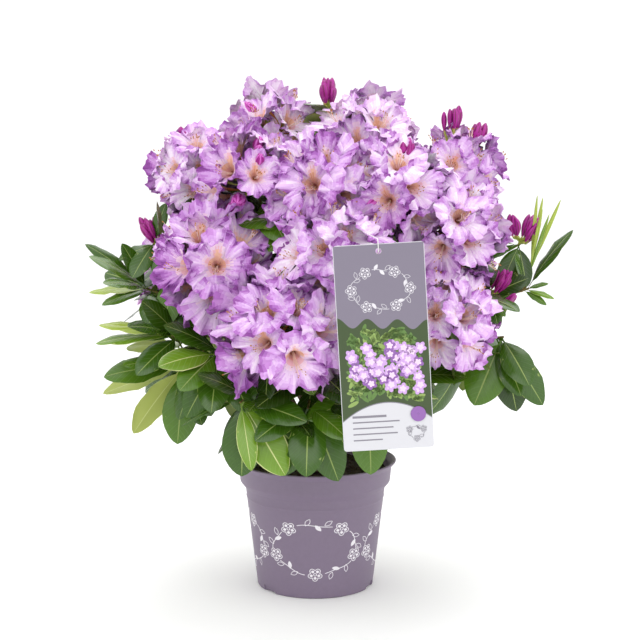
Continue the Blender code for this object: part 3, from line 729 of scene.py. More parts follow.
@dataclass
class Skeleton:
    """Trunk, boughs, stems and twigs, from a few driving sizes."""

    soil_top: float = 0.166
    trunk_top: float = 0.300
    lean: tuple[float, float] = (0.006, 0.002)
    flare_shares: tuple[float, ...] = (0.00, 0.06, 0.16, 0.55, 1.00)
    flare_radii: tuple[float, ...] = (0.0190, 0.0150, 0.0125, 0.0110, 0.0085)
    centre: Array = field(default_factory=lambda: np.array([0.010, 0.0, 0.380]))
    shoot_lift: float = 0.20
    hub_share: float = 0.46
    first_bough: float = 0.195
    last_bough: float = 0.292
    bough_step: float = 0.003
    bough_apart: float = 0.0098
    bough_points: int = 6
    bough_radii: tuple[float, float] = (0.0046, 0.0034)
    bough_sag: tuple[float, float, float] = (0.55, 0.55, 0.24)
    stem_length: float = 0.020
    stem_radius: float = 0.0034
    twig_radius: float = 0.0028
    tip_radius: float = 0.0014
    twig_turn: float = 0.45
    tip_length: float = 0.012
    candle_parent: tuple[str, int] = ("right", 2)
    candle_rise: tuple[float, float, float] = (0.012, -0.004, 0.038)
    candle_radii: tuple[float, float] = (0.0022, 0.0012)
    side_length: float = 0.035
    side_radii: tuple[float, float] = (0.002, 0.0012)
    side_bend: float = 0.012
    truss_rise: float = 0.030
    bare: tuple[tuple[str, int], ...] = (
        ("left", 0), ("upper_right", 1), ("right", 0), ("right", 1), ("right", 2), ("right", 3),
    )
    shoots: list[Shoot] = field(default_factory=list)
    boughs: dict[str, Limb] = field(default_factory=dict)
    stems: dict[str, Limb] = field(default_factory=dict)

    def __post_init__(self) -> None:
        """Lays out shoots, boughs, and the stems and twigs that join them."""
        for mass, rows in MASSES.items():
            for place, (habit, azimuth, elevation, reach) in enumerate(rows):
                way = self.towards(azimuth, elevation)
                axis = unit(way + self.shoot_lift * UP)
                tip = self.centre + reach * way
                self.shoots.append(Shoot(mass, place, habit, tip, axis, len(self.shoots)))
        self.lay_out_boughs()
        self.lay_out_twigs()

    @staticmethod
    def towards(azimuth: float, elevation: float) -> Array:
        """A unit vector at an azimuth from the front and an elevation, in degrees."""
        a, e = math.radians(azimuth), math.radians(elevation)
        return np.array([math.sin(a) * math.cos(e), -math.cos(a) * math.cos(e), math.sin(e)])

    def trunk_at(self, heights: Array | float) -> Array:
        """The trunk's middle at each height: upright at the soil, then leaning with its square."""
        share = ((heights - self.soil_top) / (self.trunk_top - self.soil_top)) ** 2
        return xyz(self.lean[0] * share, self.lean[1] * share, heights)

    def bough_to(self, hub: Array, height: float) -> Limb:
        """A bough that leaves the trunk, sags, and ends a stem short of its mass's hub.

        Args:
            hub: where the twigs of the mass part.
            height: where it leaves the trunk.

        Returns:
            The bough.
        """
        start = self.trunk_at(height)
        end = hub - unit(hub - start) * self.stem_length
        control = start + np.array(self.bough_sag) * (end - start)
        points = bend(start, control, end, self.bough_points)
        return Limb(points, np.linspace(*self.bough_radii, self.bough_points))

    def outer_run(self, limb: Limb) -> Array:
        """Where a bough runs outside the trunk.

        Args:
            limb: the bough.

        Returns:
            Close-set points along it.
        """
        shares = np.linspace(0, self.bough_points - 1, 8 * self.bough_points)
        run = resampled(limb.points, shares, np.arange(self.bough_points))
        off = np.hypot(run[:, 0] - self.lean[0], run[:, 1] - self.lean[1])
        return run[(off > self.flare_radii[2]) | (run[:, 2] > self.trunk_top)]

    def lay_out_boughs(self) -> None:
        """One bough to each mass: low masses from low on the trunk, at the next clear height."""
        hubs = {}
        for mass in MASSES:
            tips = [shoot.tip for shoot in self.shoots if shoot.mass == mass]
            hubs[mass] = self.centre + self.hub_share * (np.mean(tips, axis=0) - self.centre)
        order = sorted(hubs, key=lambda mass: hubs[mass][2])
        heights = np.arange(self.first_bough, self.last_bough, self.bough_step)
        for mass, wanted in zip(order, np.linspace(self.first_bough, self.last_bough, len(order))):
            for height in sorted(heights, key=lambda h: abs(h - wanted)):
                bough = self.bough_to(hubs[mass], height)
                run = self.outer_run(bough)
                others = [self.outer_run(other) for other in self.boughs.values()]
                gaps = [np.linalg.norm(run[:, None] - o, axis=2).min() for o in others]
                if min(gaps, default=1) > self.bough_apart:
                    break
            self.boughs[mass] = bough

    def lay_out_twigs(self) -> None:
        """A stem straight on from each bough, and a curved twig from its end to each shoot."""
        for mass, bough in self.boughs.items():
            start = bough.points[-1]
            end = start + unit(start - bough.points[-2]) * self.stem_length
            radii = np.array([self.stem_radius, self.twig_radius])
            self.stems[mass] = Limb(np.array([start, end]), radii)
        for shoot in self.shoots:
            hub = self.stems[shoot.mass].points[1]
            back = self.twig_turn * np.linalg.norm(shoot.tip - hub)
            points = bend(hub, shoot.tip - shoot.axis * back, shoot.tip, 10)
            if shoot.habit is LEAFY:
                points = np.vstack([points, shoot.tip + shoot.axis * self.tip_length])
            radii = np.linspace(self.twig_radius, self.tip_radius, len(points))
            shoot.twig = Limb(points, radii)
        self.add_candle()

    def add_candle(self) -> None:
        """New growth that stands up out of the end of the right mass's leafy shoot."""
        parent = next(s for s in self.shoots if (s.mass, s.place) == self.candle_parent)
        start = parent.twig.points[-2]
        tip = start + np.array(self.candle_rise)
        line = bend(start, start + parent.axis * self.side_bend, tip, 8)
        twig, number = Limb(line, np.linspace(*self.candle_radii, 8)), len(self.shoots)
        self.shoots.append(Shoot(parent.mass, parent.place + 1, LEAFY, tip, UP, number, twig))

    def trusses(self) -> Array:
        """The middle of each truss of flowers or buds, shaped (trusses, 3)."""
        flowering = [shoot for shoot in self.shoots if shoot.habit is not LEAFY]
        return np.array([shoot.tip + shoot.axis * self.truss_rise for shoot in flowering])

    def side_shoots(self) -> list[Shoot]:
        """A short leafy shoot out of the middle of each twig, which fills the crown's inside.

        Returns:
            New shoots, each with its twig.
        """
        found = []
        for shoot in self.shoots:
            if (shoot.mass, shoot.place) in self.bare:
                continue
            side = shoot.beside(np.array(shoot.number * GOLDEN_ANGLE))
            axis = unit(shoot.axis * 0.6 + side)
            start = shoot.twig.points[5]
            control, tip = start + shoot.axis * self.side_bend, start + axis * self.side_length
            line = bend(start, control, tip, 6)
            number = len(self.shoots) + shoot.number
            twig = Limb(line, np.linspace(*self.side_radii, 6))
            found.append(Shoot(shoot.mass, -1, LEAFY, line[-1], axis, number, twig))
        return found


@dataclass
class Wood:
    """The bark-covered trunk, boughs, stems and twigs as smooth tapering tubes with relief."""

    skeleton: Skeleton
    ridge: float = 0.0007
    trunk_sides: int = 64
    trunk_rings: int = 70
    limb_sides: int = 16
    limb_rings: int = 40
    twig_sides: int = 8
    girth_shown: float = 0.035

    def relief(self, rows: int, sides: int, height: float, seed: int) -> Array:
        """Bark ridges: a sum of waves that run round and slowly twist along the limb.

        Args:
            rows: rings on the limb.
            sides: points in a ring.
            height: how far the ridges stand out.
            seed: number of the limb.

        Returns:
            What is added to the radius, shaped (1, rows, sides).
        """
        rng = np.random.default_rng(SEED + seed)
        round_by = full_turn(sides)[None, :]
        along = np.linspace(0, 1, rows)[:, None]
        total = np.zeros((rows, sides))
        for waves in (5, 8, 13, 21):
            if 2 * waves > sides:
                break
            turn, wander, shift = rng.uniform(-3, 3), rng.uniform(4, 12), rng.uniform(0, 6)
            total += np.sin(waves * round_by + turn * along + np.sin(wander * along + shift))
        return height * total[None] / 4

    def build(self) -> None:
        """Builds the old wood, trunk and boughs, as one piece."""
        bone = self.skeleton
        skin = Skin("limbs", (BARK,))
        along = np.linspace(0, 1, self.trunk_rings)
        heights = bone.soil_top + along * (bone.trunk_top - bone.soil_top)
        radii = np.interp(along, bone.flare_shares, bone.flare_radii)[None, :, None]
        radii = radii + self.relief(self.trunk_rings, self.trunk_sides, self.ridge, 0)
        self.add_limb(skin, bone.trunk_at(heights), radii, self.trunk_sides)
        marks = np.arange(bone.bough_points)
        for seed, bough in enumerate(bone.boughs.values(), 1):
            line = resampled(bough.points, np.linspace(0, marks[-1], self.limb_rings), marks)
            radii = np.linspace(*bone.bough_radii, self.limb_rings)[None, :, None]
            radii = radii + self.relief(self.limb_rings, self.limb_sides, self.ridge / 3, seed)
            self.add_limb(skin, line, radii, self.limb_sides)
        settle(skin, ["trunk"] + [f"bough_{mass}" for mass in MASSES])

    def build_twigs(self, extra: list[Shoot]) -> None:
        """Builds stems and twigs as one piece, in younger bark.

        Args:
            extra: side shoots, which have twigs too.
        """
        skin = Skin("twigs", (YOUNG_BARK,))
        twigs = [shoot.twig for shoot in self.skeleton.shoots + extra]
        for limb in [*self.skeleton.stems.values(), *twigs]:
            self.add_limb(skin, limb.points, limb.radii[None], self.twig_sides)
        settle(skin, list(MASSES))

    def add_limb(self, skin: Skin, line: Array, radii: Array, sides: int) -> None:
        """Adds a limb, with the way round it and along it as its surface coordinates.

        Args:
            skin: takes the limb.
            line: its middle line.
            radii: its radii, as sweep takes them.
            sides: points in a ring.
        """
        grid = sweep(line[None], radii, sides)
        across = np.arange(sides) * self.girth_shown / sides
        flat = np.stack(np.meshgrid(across, walked(grid[0, :, 0])), axis=-1)
        skin.add(grid, flat=flat, wrap=True, capped=True)


@dataclass
class Clearing:
    """The room that leaves and flowers keep to: off the pot and the label, out of other
    trusses, and no further out than the solids reach."""

    trusses: Array
    box: Array
    past_box: float = 0.006
    pot_radius: float = 0.118
    pot_height: float = 0.184
    truss_radius: float = 0.062
    label_margin: float = 0.004
    lowest: float = 0.15
    hits: float = 10.0
    hangs_low: float = 5.0
    reaches_out: float = 2.0

    def past(self, pieces: Array) -> Array:
        """How far each piece goes past the solids' box, for points shaped (pieces, ..., 3)."""
        points = pieces.reshape(len(pieces), -1, 3)
        return np.maximum(self.box[0] - points, points - self.box[1]).max(axis=(1, 2))

    def blocked(self, pieces: Array, tips: Array | None = None) -> Array:
        """How much each piece is in the way, from 0.

        Args:
            pieces: points shaped (pieces, ..., 3).
            tips: outer points that must stay out of other trusses, shaped (pieces, ..., 3).

        Returns:
            A number for each piece: 0 is clear, and 1 or more is too much.
        """
        points = pieces.reshape(len(pieces), -1, 3)
        low = points[..., 2] < self.pot_height
        near = np.hypot(points[..., 0], points[..., 1]) < self.pot_radius
        wrong = (low & near).any(axis=1) * self.hits
        card = Label.to_card(points)
        beside = np.abs(card[..., 0]) < Label.WIDTH / 2 + self.label_margin
        level = np.abs(card[..., 2] + Label.HEIGHT / 2) < Label.HEIGHT / 2 + self.label_margin
        wrong += (beside & level & (card[..., 1] < self.label_margin)).any(axis=1) * self.hits
        wrong += (points[..., 2].min(axis=1) < self.lowest) * self.hangs_low
        wrong += (self.past(points) > self.past_box) * self.reaches_out
        if tips is not None and len(self.trusses):
            tips = tips.reshape(len(tips), -1, 1, 3)
            gaps = np.linalg.norm(tips - self.trusses, axis=-1).min(axis=(1, 2))
            wrong += np.clip(1 - gaps / self.truss_radius, 0, 1)
        return wrong


# Leaves


# Leaves of the shoots that stand in front, by mass and by the shoot's place in it. A row is one
# leaf: the way it points as the hand of a clock would, in degrees from straight up, and how far it
# comes to the front; its length in millimetres and a factor on its width; how its upper side turns
# from the sky, at 0, to the front, at 90; its place in TOPS; and how it bends, if not by CURL.
CURL = 0.4
FRONT_LEAVES: dict[tuple[str, int], tuple[tuple[float, ...], ...]] = {
    ("left", 1): (
        (20, 15, 60, 0.8, 70, 1), (-150, 40, 70, 1.0, 60, 1), (160, 40, 75, 1.0, 60, 1),
        (-112, 20, 60, 1.0, 35, 1), (100, 20, 58, 0.8, 50, 1),
    ),
    ("left", 2): (
        (-52, 5, 112, 0.55, 38, 1), (-57, 20, 92, 0.9, 30, 2), (-25, 15, 74, 0.8, 45, 1),
        (-75, 50, 84, 1.0, 45, 2), (-93, 0, 120, 0.85, 16, 4, 0.25), (-106, 20, 72, 0.9, 30, 2),
        (175, 60, 80, 0.9, 60, 1), (-75, -35, 95, 1.0, 55, 1),
    ),
    ("left_low", 0): (
        (-81, 5, 102, 0.75, 20, 4, 0.25), (-95, 5, 108, 0.8, 18, 3, 0.3), (-70, 45, 88, 1.1, 42, 1),
        (-40, 30, 80, 1.0, 55, 1), (-130, 40, 90, 1.0, 55, 1), (-85, -40, 95, 1.0, 55, 1),
    ),
    ("left_low", 1): (
        (-80, 40, 92, 1.0, 40, 2), (-96, 10, 106, 1.15, 35, 2), (-109, 0, 116, 0.95, -35, 4, 0.2),
        (-143, 5, 116, 0.95, -40, 4, 0.3), (-175, 15, 108, 1.1, 70, 2, 0.3),
        (163, 25, 88, 1.0, 60, 1), (-125, -35, 100, 1.0, 60, 1),
    ),
    ("left_low", 2): (
        (-97, 35, 88, 1.15, 45, 3), (-130, 50, 90, 1.1, 60, 2), (-175, 45, 95, 1.1, 65, 1),
        (150, 30, 98, 1.0, 60, 1), (-60, 20, 90, 1.0, 40, 1), (-150, 15, 98, 1.0, 60, 1),
    ),
    ("front_low", 1): (
        (169, 30, 95, 0.65, 60, 3), (148, 15, 112, 1.05, 70, 3, 0.3), (102, 30, 100, 0.95, 55, 1),
        (130, 10, 114, 1.1, 60, 1), (-178, 10, 100, 1.3, 65, 1, 0.3), (-163, 10, 76, 0.9, 50, 0),
        (-112, 10, 92, 0.35, 20, 1), (-60, 25, 80, 1.0, 40, 1),
    ),
    ("front_low", 2): (
        (121, 45, 85, 1.0, 50, 2), (-158, 6, 98, 1.1, 65, 1, 0.3), (158, 10, 106, 1.1, 60, 1),
        (-178, 30, 98, 1.2, 60, 1), (-120, 30, 92, 1.0, 50, 1), (95, 10, 95, 1.0, 40, 0),
    ),
    ("right_low", 1): (
        (62, 20, 58, 1.1, 60, 0), (166, 20, 48, 0.9, 55, 1), (140, 35, 40, 0.8, 50, 2),
        (-120, 40, 80, 1.0, 50, 1), (-160, 45, 80, 1.0, 60, 1), (20, 40, 58, 0.9, 50, 1),
    ),
    ("right_low", 2): (
        (-155, 20, 104, 1.3, 65, 2, 0.3), (151, 45, 92, 1.1, 60, 1),
        (167, 10, 104, 1.1, 60, 0, 0.3), (146, 5, 112, 0.95, 50, 1, 0.3), (158, 30, 92, 1.0, 60, 1),
        (-110, 30, 90, 1.0, 50, 1),
    ),
    ("right", 1): (
        (-112, 25, 62, 0.6, 40, 1), (-150, 35, 76, 0.9, 60, 1), (172, 30, 66, 0.9, 60, 0),
        (-78, 30, 60, 0.5, 30, 2),
    ),
    ("right", 2): (
        (36, 5, 104, 0.6, 20, 1, 0.3), (72, 25, 34, 0.8, 40, 2), (106, 20, 44, 0.6, 40, 3),
        (122, 25, 40, 0.7, 50, 2), (-20, 50, 88, 1.1, 60, 1), (-60, 25, 85, 0.7, 40, 2),
        (-110, 30, 70, 0.9, 50, 1),
    ),
    ("right", 3): (
        (4, 5, 100, 0.12, 60, 4, 0.15), (9, 12, 86, 0.15, 50, 4, 0.15),
        (10, -5, 102, 0.13, 55, 4, 0.15), (22, 4, 108, 0.13, 60, 4, 0.2),
        (16, 10, 84, 0.15, 60, 3, 0.2), (13, 22, 66, 0.17, 60, 3, 0.2),
        (6, 18, 74, 0.14, 60, 4, 0.2), (17, 0, 92, 0.13, 60, 4, 0.1),
    ),
}


@dataclass(frozen=True)
class Whorl:
    """How many leaves a shoot has, how far from its axis they splay, in degrees from the first
    to the last, and how far below its tip they start."""

    count: int
    splay: tuple[float, float]
    drop: float


WHORLS = {
    BLOOM: Whorl(6, (96, 122), 0.030),
    BUD: Whorl(7, (62, 104), 0.020),
    LEAFY: Whorl(8, (48, 104), 0.004),
}


@dataclass
class Foliage:
    """Whorled leathery leaves: a closed shell each, dark above and pale below."""

    skeleton: Skeleton
    clearing: Clearing
    length: float = 0.102
    width: float = 0.043
    thickness: float = 0.0007
    rows: int = 15
    inner_count: int = 6
    step: float = 0.0026
    front_drop: float = 0.002
    front_step: float = 0.0022
    foot: float = 0.12
    stalk_half: float = 0.0014
    tip_half: float = 0.0003
    edge_wave: float = 0.0014
    edge_ripple: float = 0.0007
    sizes: tuple[float, float] = (0.84, 1.08)
    swerves: tuple[float, ...] = (0, 18, -18, 36, -36, 60, -60, 90, -90)
    roll: float = 0.35
    reach_past: float = 0.022
    stations: tuple[float, ...] = (0.035, 0.30, 0.62, 0.94, 1.0)

    def across(self) -> Array:
        """Stations across a leaf: a narrow strip for the midrib, wider ones, then a margin."""
        half = np.array(self.stations)
        return np.concatenate([-half[::-1], half])

    def shape(self, curl: Array, wave: Array, slim: Array) -> Array:
        """Leaves of full size along +X, normal +Z, as shells of an upper and a lower sheet.

        Along a leaf, v goes 0 to 1 from its foot to its tip. The half width is a stalk's up to
        `foot` and then (width / 2) sin(pi w^1.1)^0.64, w counting from there, which is widest a
        little past the middle and ends roundly. The middle line is an arc that turns down by
        curl, laid so that its two ends are on the X axis. Over the width, e from -1 to 1, the
        blade rises by 0.20|e| and falls by 0.22e^2 of the half width, so the midrib is sunk and
        the edges roll down, and the edges wave.

        Args:
            curl: how far each leaf's middle line turns, in radians.
            wave: phase of each leaf's edge.
            slim: factor on each leaf's width.

        Returns:
            Points shaped (leaves, 2, rows, stations, 3), the upper sheet first.
        """
        v = np.linspace(0, 1, self.rows)
        v = v - 0.09 * np.sin(2 * math.pi * v)
        e = self.across()
        w = np.clip((v - self.foot) / (1 - self.foot), 0, 1)
        half = 0.5 * self.width * np.sin(math.pi * w**1.1) ** 0.64
        half = np.maximum(half, np.where(v < 0.5, self.stalk_half, self.tip_half))
        half = slim[:, None] * half
        curl, wave = curl[:, None], wave[:, None, None]
        lean = curl * (v - 0.5)
        arc_x = self.length * (np.sin(lean) + np.sin(curl / 2)) / curl
        arc_z = self.length * (np.cos(lean) - np.cos(curl / 2)) / curl
        rise = 0.20 * np.abs(e) - 0.22 * e**2
        swell = e**2 * np.sin(math.pi * w)[:, None]
        along = math.pi * v[:, None]
        edge = self.edge_wave * np.sin(5 * along + wave) * swell
        edge = edge + self.edge_ripple * np.sin(11 * along + 2 * wave + 2 * e) * swell
        lift = rise * half[..., None] + edge
        x = arc_x[..., None] + lift * np.sin(lean)[..., None]
        z = arc_z[..., None] + lift * np.cos(lean)[..., None]
        sheet = xyz(x, half[..., None] * e, z)
        thick = self.thickness * (1 - e**2) * np.sin(math.pi * v)[:, None] ** 0.5
        normal = xyz(np.sin(lean), 0 * lean, np.cos(lean))
        offset = thick[None, ..., None] * normal[:, :, None]
        return np.stack([sheet + offset, sheet - offset], axis=1)

    def ways(self, shoot: Shoot, rng: Dice, inner: bool) -> tuple[Array, ...]:
        """Where a shoot's leaves may point, as the source's whorl does it.

        Args:
            shoot: the shoot.
            rng: its random numbers.
            inner: whether it is a side shoot inside the crown, which has fewer leaves.

        Returns:
            Directions shaped (leaves, swerves, 3), roots (leaves, 3) and sizes (leaves).
        """
        whorl = WHORLS[shoot.habit]
        count = self.inner_count if inner else whorl.count
        first, last = whorl.splay
        order = np.arange(count)
        splay = np.radians(first + (last - first) * order / (count - 1) + rng.uniform(-7, 7, count))
        turn = rng.uniform(0, 2 * math.pi) + GOLDEN_ANGLE * order
        side = shoot.beside(turn[:, None] + np.radians(self.swerves))
        splay = splay[:, None, None]
        way = shoot.axis * np.cos(splay) + side * np.sin(splay)
        droop = 0.2 + rng.uniform(-0.1, 0.1, (count, 1, 1))
        roots = shoot.twig.feet(whorl.drop, self.step, count)
        return unit(way - droop * UP), roots, rng.uniform(*self.sizes, count)

    def grow(self, shoot: Shoot, rng: Dice, inner: bool) -> tuple[Array, ...]:
        """Leaves of one shoot, each turned to the first way that is clear.

        Args:
            shoot: the shoot.
            rng: random numbers.
            inner: whether it is a side shoot inside the crown, which has darker leaves.

        Returns:
            Shells (leaves, 2, rows, stations, 3) and tones (leaves), places in TOPS.
        """
        ways, roots, sizes = self.ways(shoot, rng, inner)
        count = len(roots)
        curl = rng.uniform(0.25, 0.75, count)
        shells = self.shape(curl, rng.uniform(0, 6, count), rng.uniform(0.85, 1.2, count))
        grids = shells.reshape(count, 2 * self.rows, -1, 3)
        others = self.clearing.trusses
        away = others[np.linalg.norm(others - shoot.tip, axis=1) > (0.0 if inner else 0.05)]
        clearing = replace(self.clearing, trusses=away)
        best, worst = np.zeros_like(grids), np.full(count, np.inf)
        tilt = rng.uniform(-self.roll, self.roll, (count, 1))
        for number, way in enumerate(ways.transpose(1, 0, 2)):
            out = unit(np.cross(way, UP + 1e-3))
            frames = frames_towards(way, unit(UP + 0.7 * shoot.axis + tilt * out))
            tried = carried(grids, frames, roots, sizes)
            middle = tried[:, self.rows // 2 : self.rows, 4:6]
            wrong = clearing.blocked(tried, middle) + 0.01 * number
            better = wrong < worst
            best[better], worst[better] = tried[better], wrong[better]
        kept = worst < (0.3 if inner else 1.0)
        tones = rng.normal(1.2 if inner else 1.8, 0.9, count)
        if shoot.habit is LEAFY and not inner:
            tones[:3] += 1.2
        tones = np.clip(tones, 0, len(TOPS) - 1).astype(int)
        return best.reshape(shells.shape)[kept], tones[kept]

    def set_out(
        self, shoot: Shoot, rows: tuple[tuple[float, ...], ...], rng: Dice
    ) -> tuple[Array, ...]:
        """Leaves of a shoot in front, each laid as its row of FRONT_LEAVES says.

        Args:
            shoot: the shoot.
            rows: its leaves.
            rng: random numbers.

        Returns:
            Shells (leaves, 2, rows, stations, 3) and tones (leaves), places in TOPS.
        """
        table = np.array([(*row, CURL)[:7] for row in rows]).T
        clock, lean, face = np.radians(table[[0, 1, 4]])
        length, slim, tones, curl = table[[2, 3, 5, 6]]
        ways, out = clock_way(clock, lean), clock_way(clock, 0 * lean)
        face, front = face[:, None], np.array([0.0, -1.0, 0.0])
        level = UP + 0.35 * (out - ways * (ways * out).sum(-1, keepdims=True))
        frames = frames_towards(ways, unit(np.cos(face) * level + np.sin(face) * front))
        shells = self.shape(curl, rng.uniform(0, 6, len(rows)), slim)
        grids = shells.reshape(len(rows), 2 * self.rows, -1, 3)
        roots = shoot.twig.feet(self.front_drop, self.front_step, len(rows))
        sizes = length * MM / self.length
        past = self.clearing.past(carried(grids, frames, roots, sizes)) - self.reach_past
        sizes = sizes * (1 - np.maximum(past, 0) / (sizes * self.length))
        placed = carried(grids, frames, roots, sizes)
        kept = self.clearing.blocked(placed) < self.clearing.hits
        return placed.reshape(shells.shape)[kept], tones[kept].astype(int)

    def build(self, extra: list[Shoot]) -> None:
        """Builds each sector's leaves as one piece.

        Args:
            extra: side shoots inside the crown.
        """
        e = self.across()
        middle = np.abs(e[1:] + e[:-1]) / 2
        rib_strip, margin = middle < self.stations[0], middle > self.stations[-2]
        v = np.linspace(0, self.length, self.rows)
        flat = np.stack(np.meshgrid(e * self.width / 2, v), axis=-1)
        finishes = (*TOPS, *RIBS, *UNDERS)
        for sector, masses in SECTORS.items():
            skin = Skin(f"leaves_{sector.value}", finishes)
            for shoot in self.skeleton.shoots + extra:
                if shoot.mass not in masses:
                    continue
                inner = shoot.place < 0
                rng = np.random.default_rng(SEED * 100 + shoot.number)
                rows = None if inner else FRONT_LEAVES.get((shoot.mass, shoot.place))
                if rows:
                    shells, tones = self.set_out(shoot, rows, rng)
                else:
                    shells, tones = self.grow(shoot, rng, inner)
                if not len(shells):
                    continue
                top = tones[:, None, None]
                young = top > 2
                rib, under = len(TOPS) + young, len(TOPS) + len(RIBS) + young
                upper = np.where(rib_strip | (margin & young), rib, top)
                skin.add(shells[:, 0], upper, flat, flip=True)
                skin.add(shells[:, 1], np.where(rib_strip, rib, under), flat)
            settle(skin, masses, crease=75.0)


# Flowers and buds


@dataclass
class Trusses:
    """Domed trusses of ruffled funnel flowers, and trusses of closed buds."""

    skeleton: Skeleton
    clearing: Clearing
    blooms: int = 15
    buds: int = 11
    bud_cap: float = 34.0
    neck_at: float = 0.033
    core_step: float = 0.0009
    tube_length: float = 0.0155
    neck_radius: float = 0.0016
    throat_radius: float = 0.0100
    flare: float = 42.0
    open_to: tuple[float, float] = (68.0, 110.0)
    half_open_to: tuple[float, float] = (48.0, 64.0)
    half_open_share: float = 0.2
    shut_share: float = 0.08
    shut_bunch: int = 4
    lobe_length: float = 0.033
    overlap: float = 0.28
    notch: tuple[float, float] = (0.34, 0.58)
    sizes: tuple[float, float] = (0.90, 1.12)
    tube_rows: int = 3
    lobe_rows: int = 8
    columns: int = 24
    stamen_count: int = 8
    bunch: int = 5
    bud_length: float = 0.034
    bud_width: float = 0.0100
    bud_neck: float = 0.011
    most_blocked: float = 2.5
    broad_fold: float = 0.0026
    ruffle_fold: float = 0.0034
    frill_fold: float = 0.0017
    edge_step: float = 0.0013
    groove: float = 0.0015
    shown_width: float = 0.032
    shown_length: float = 0.05
    first_core: float = 0.002
    anther_marks: tuple[float, ...] = (-0.0008, 0.0004, 0.0018)
    anther_radii: tuple[float, ...] = (0.0004, 0.0009, 0.0004)
    stalk_radii: tuple[float, ...] = (0.0011, 0.0009, 0.0009, 0.0010, 0.0012, 0.0022, 0.0017)
    threads: Skin = field(default_factory=lambda: Skin("stamens", (FILAMENT, ANTHER)))
    stalks: Skin = field(default_factory=lambda: Skin("flower_stalks", (STALK, STALK_GREEN)))
    closed: Skin = field(default_factory=lambda: Skin("flower_buds", (*BUDS, PETALS[3])))

    def spread(self, shoot: Shoot, count: int, cap: float, turn: float) -> Array:
        """Ways of a truss's flowers: a golden spiral over a cap round the shoot's axis.

        Args:
            shoot: the shoot.
            count: how many flowers.
            cap: how far from the axis they reach, in degrees.
            turn: where round the axis the first one is, in radians.

        Returns:
            Unit vectors shaped (flowers, 3).
        """
        order = np.arange(count)
        rise = 1 - (1 - math.cos(math.radians(cap))) * (order[:, None] + 0.5) / count
        side = shoot.beside(turn + GOLDEN_ANGLE * order)
        return unit(shoot.axis * rise + side * np.sqrt(1 - rise**2))

    def corolla(self, rng: Dice, depth: Array) -> tuple[Array, ...]:
        """Open flowers along +Z, upper lobe towards +Y, five lobes each.

        Up the tube, t goes 0 to 1 and the radius is neck + (throat - neck) t^1.5. Out along a
        lobe its slope off the axis turns evenly from a to b, so the radius grows by
        L (cos a - cos slope) / (b - a) and the height by L (sin slope - sin a) / (b - a). L is
        the lobe's length times 1 - notch |p|^2.3, p from -1 to 1 across it, with a crimped edge.
        The lobes widen to overlap, one edge over and the other under. Broad waves, ruffles and
        frills, about 1, 3 and 6 to a lobe, stand off the surface and grow towards its edge.

        Args:
            rng: random numbers.
            depth: how much deeper than a pale one each flower is: painted shade and light by its
                truss and by which way it faces.

        Returns:
            Points (flowers * 5, rows, columns + 1, 3), and the finish of each face, a number
            shaped (flowers * 5, rows - 1, columns).
        """
        count = len(depth)
        edge = np.linspace(-1, 1, self.columns + 1)
        p = 0.4 * np.sin(0.5 * math.pi * edge) + 0.6 * edge
        tube = np.linspace(-1, 0, self.tube_rows, endpoint=False)
        s = np.concatenate([tube, np.linspace(0, 1, self.lobe_rows + 1) ** 0.85])
        t_tube, t = np.clip(s + 1, 0, 1)[:, None], np.clip(s, 0, 1)[:, None]
        one, many = (count, 1, 1, 1), (count, 5, 1, 1)

        def wave(low: float, high: float, shift: Array | float = 0.0) -> Array:
            """A wave across each lobe, of between low and high radians to a unit of p."""
            return np.sin(rng.uniform(low, high, many) * p + rng.uniform(0, 6, many) + shift)

        half_open = rng.uniform(0, 1, one) < self.half_open_share
        partly, fully = rng.uniform(*self.half_open_to, one), rng.uniform(*self.open_to, one)
        opened = np.where(half_open, partly, fully)
        start = math.radians(self.flare)
        end = np.radians(opened + rng.uniform(-13, 13, many))
        crimp = 1 + 0.06 * wave(5, 8) * t
        crimp = crimp + 0.04 * wave(14, 20) * t
        notch = rng.uniform(*self.notch, one)
        length = self.lobe_length * (1 - notch * np.abs(p) ** 2.3) * crimp
        length = length * rng.uniform(0.88, 1.1, many)
        slope = start + (end - start) * t
        radius = self.neck_radius + (self.throat_radius - self.neck_radius) * t_tube**1.5
        radius = radius + length * (np.cos(start) - np.cos(slope)) / (end - start)
        height = self.tube_length * t_tube
        height = height + length * (np.sin(slope) - np.sin(start)) / (end - start)
        broad = wave(3.2, 5.0)
        sway = rng.uniform(0.6, 2.4, many) * np.sin(rng.uniform(2, 5, many) * t)
        ruffle, frill = wave(8.5, 12, sway), wave(16, 22, -2 * sway)
        off = self.broad_fold * broad * t**1.2
        off = off + self.ruffle_fold * ruffle * (0.45 + 0.55 * np.abs(p)) * t**1.6
        off = off + self.frill_fold * frill * t**2.4 + self.edge_step * p * ease(0, 0.4, t)
        off = off - self.groove * np.exp(-((p / 0.18) ** 2)) * np.sin(math.pi * t)
        off = off - rng.uniform(-0.001, 0.004, many) * p**2 * t
        half = math.radians(36) * (1 + self.overlap * ease(0, 0.7, t))
        middle = math.radians(90) + math.radians(72) * np.arange(5).reshape(1, 5, 1, 1)
        angle = middle + half * (p + 0.035 * frill * t**2)
        radius = radius - off * np.cos(slope)
        height = height + off * np.sin(slope)
        grid = xyz(radius * np.cos(angle), radius * np.sin(angle), height)
        # How far each point stands on a ridge: the tints paint highlight on ridges and shade in
        # folds from it.
        ridge = 0.45 * broad * t**0.8 + 0.6 * ruffle * t**0.8 + 0.45 * frill * t**1.4
        # Half-open flowers are deeper in their own colour; what comes in is painted shade and
        # light.
        depth = 0.04 + 0.14 * half_open + depth.reshape(one)
        tints = self.tints(rng, depth, s, p, ridge)
        return grid.reshape(count * 5, len(s), len(p), 3), tints

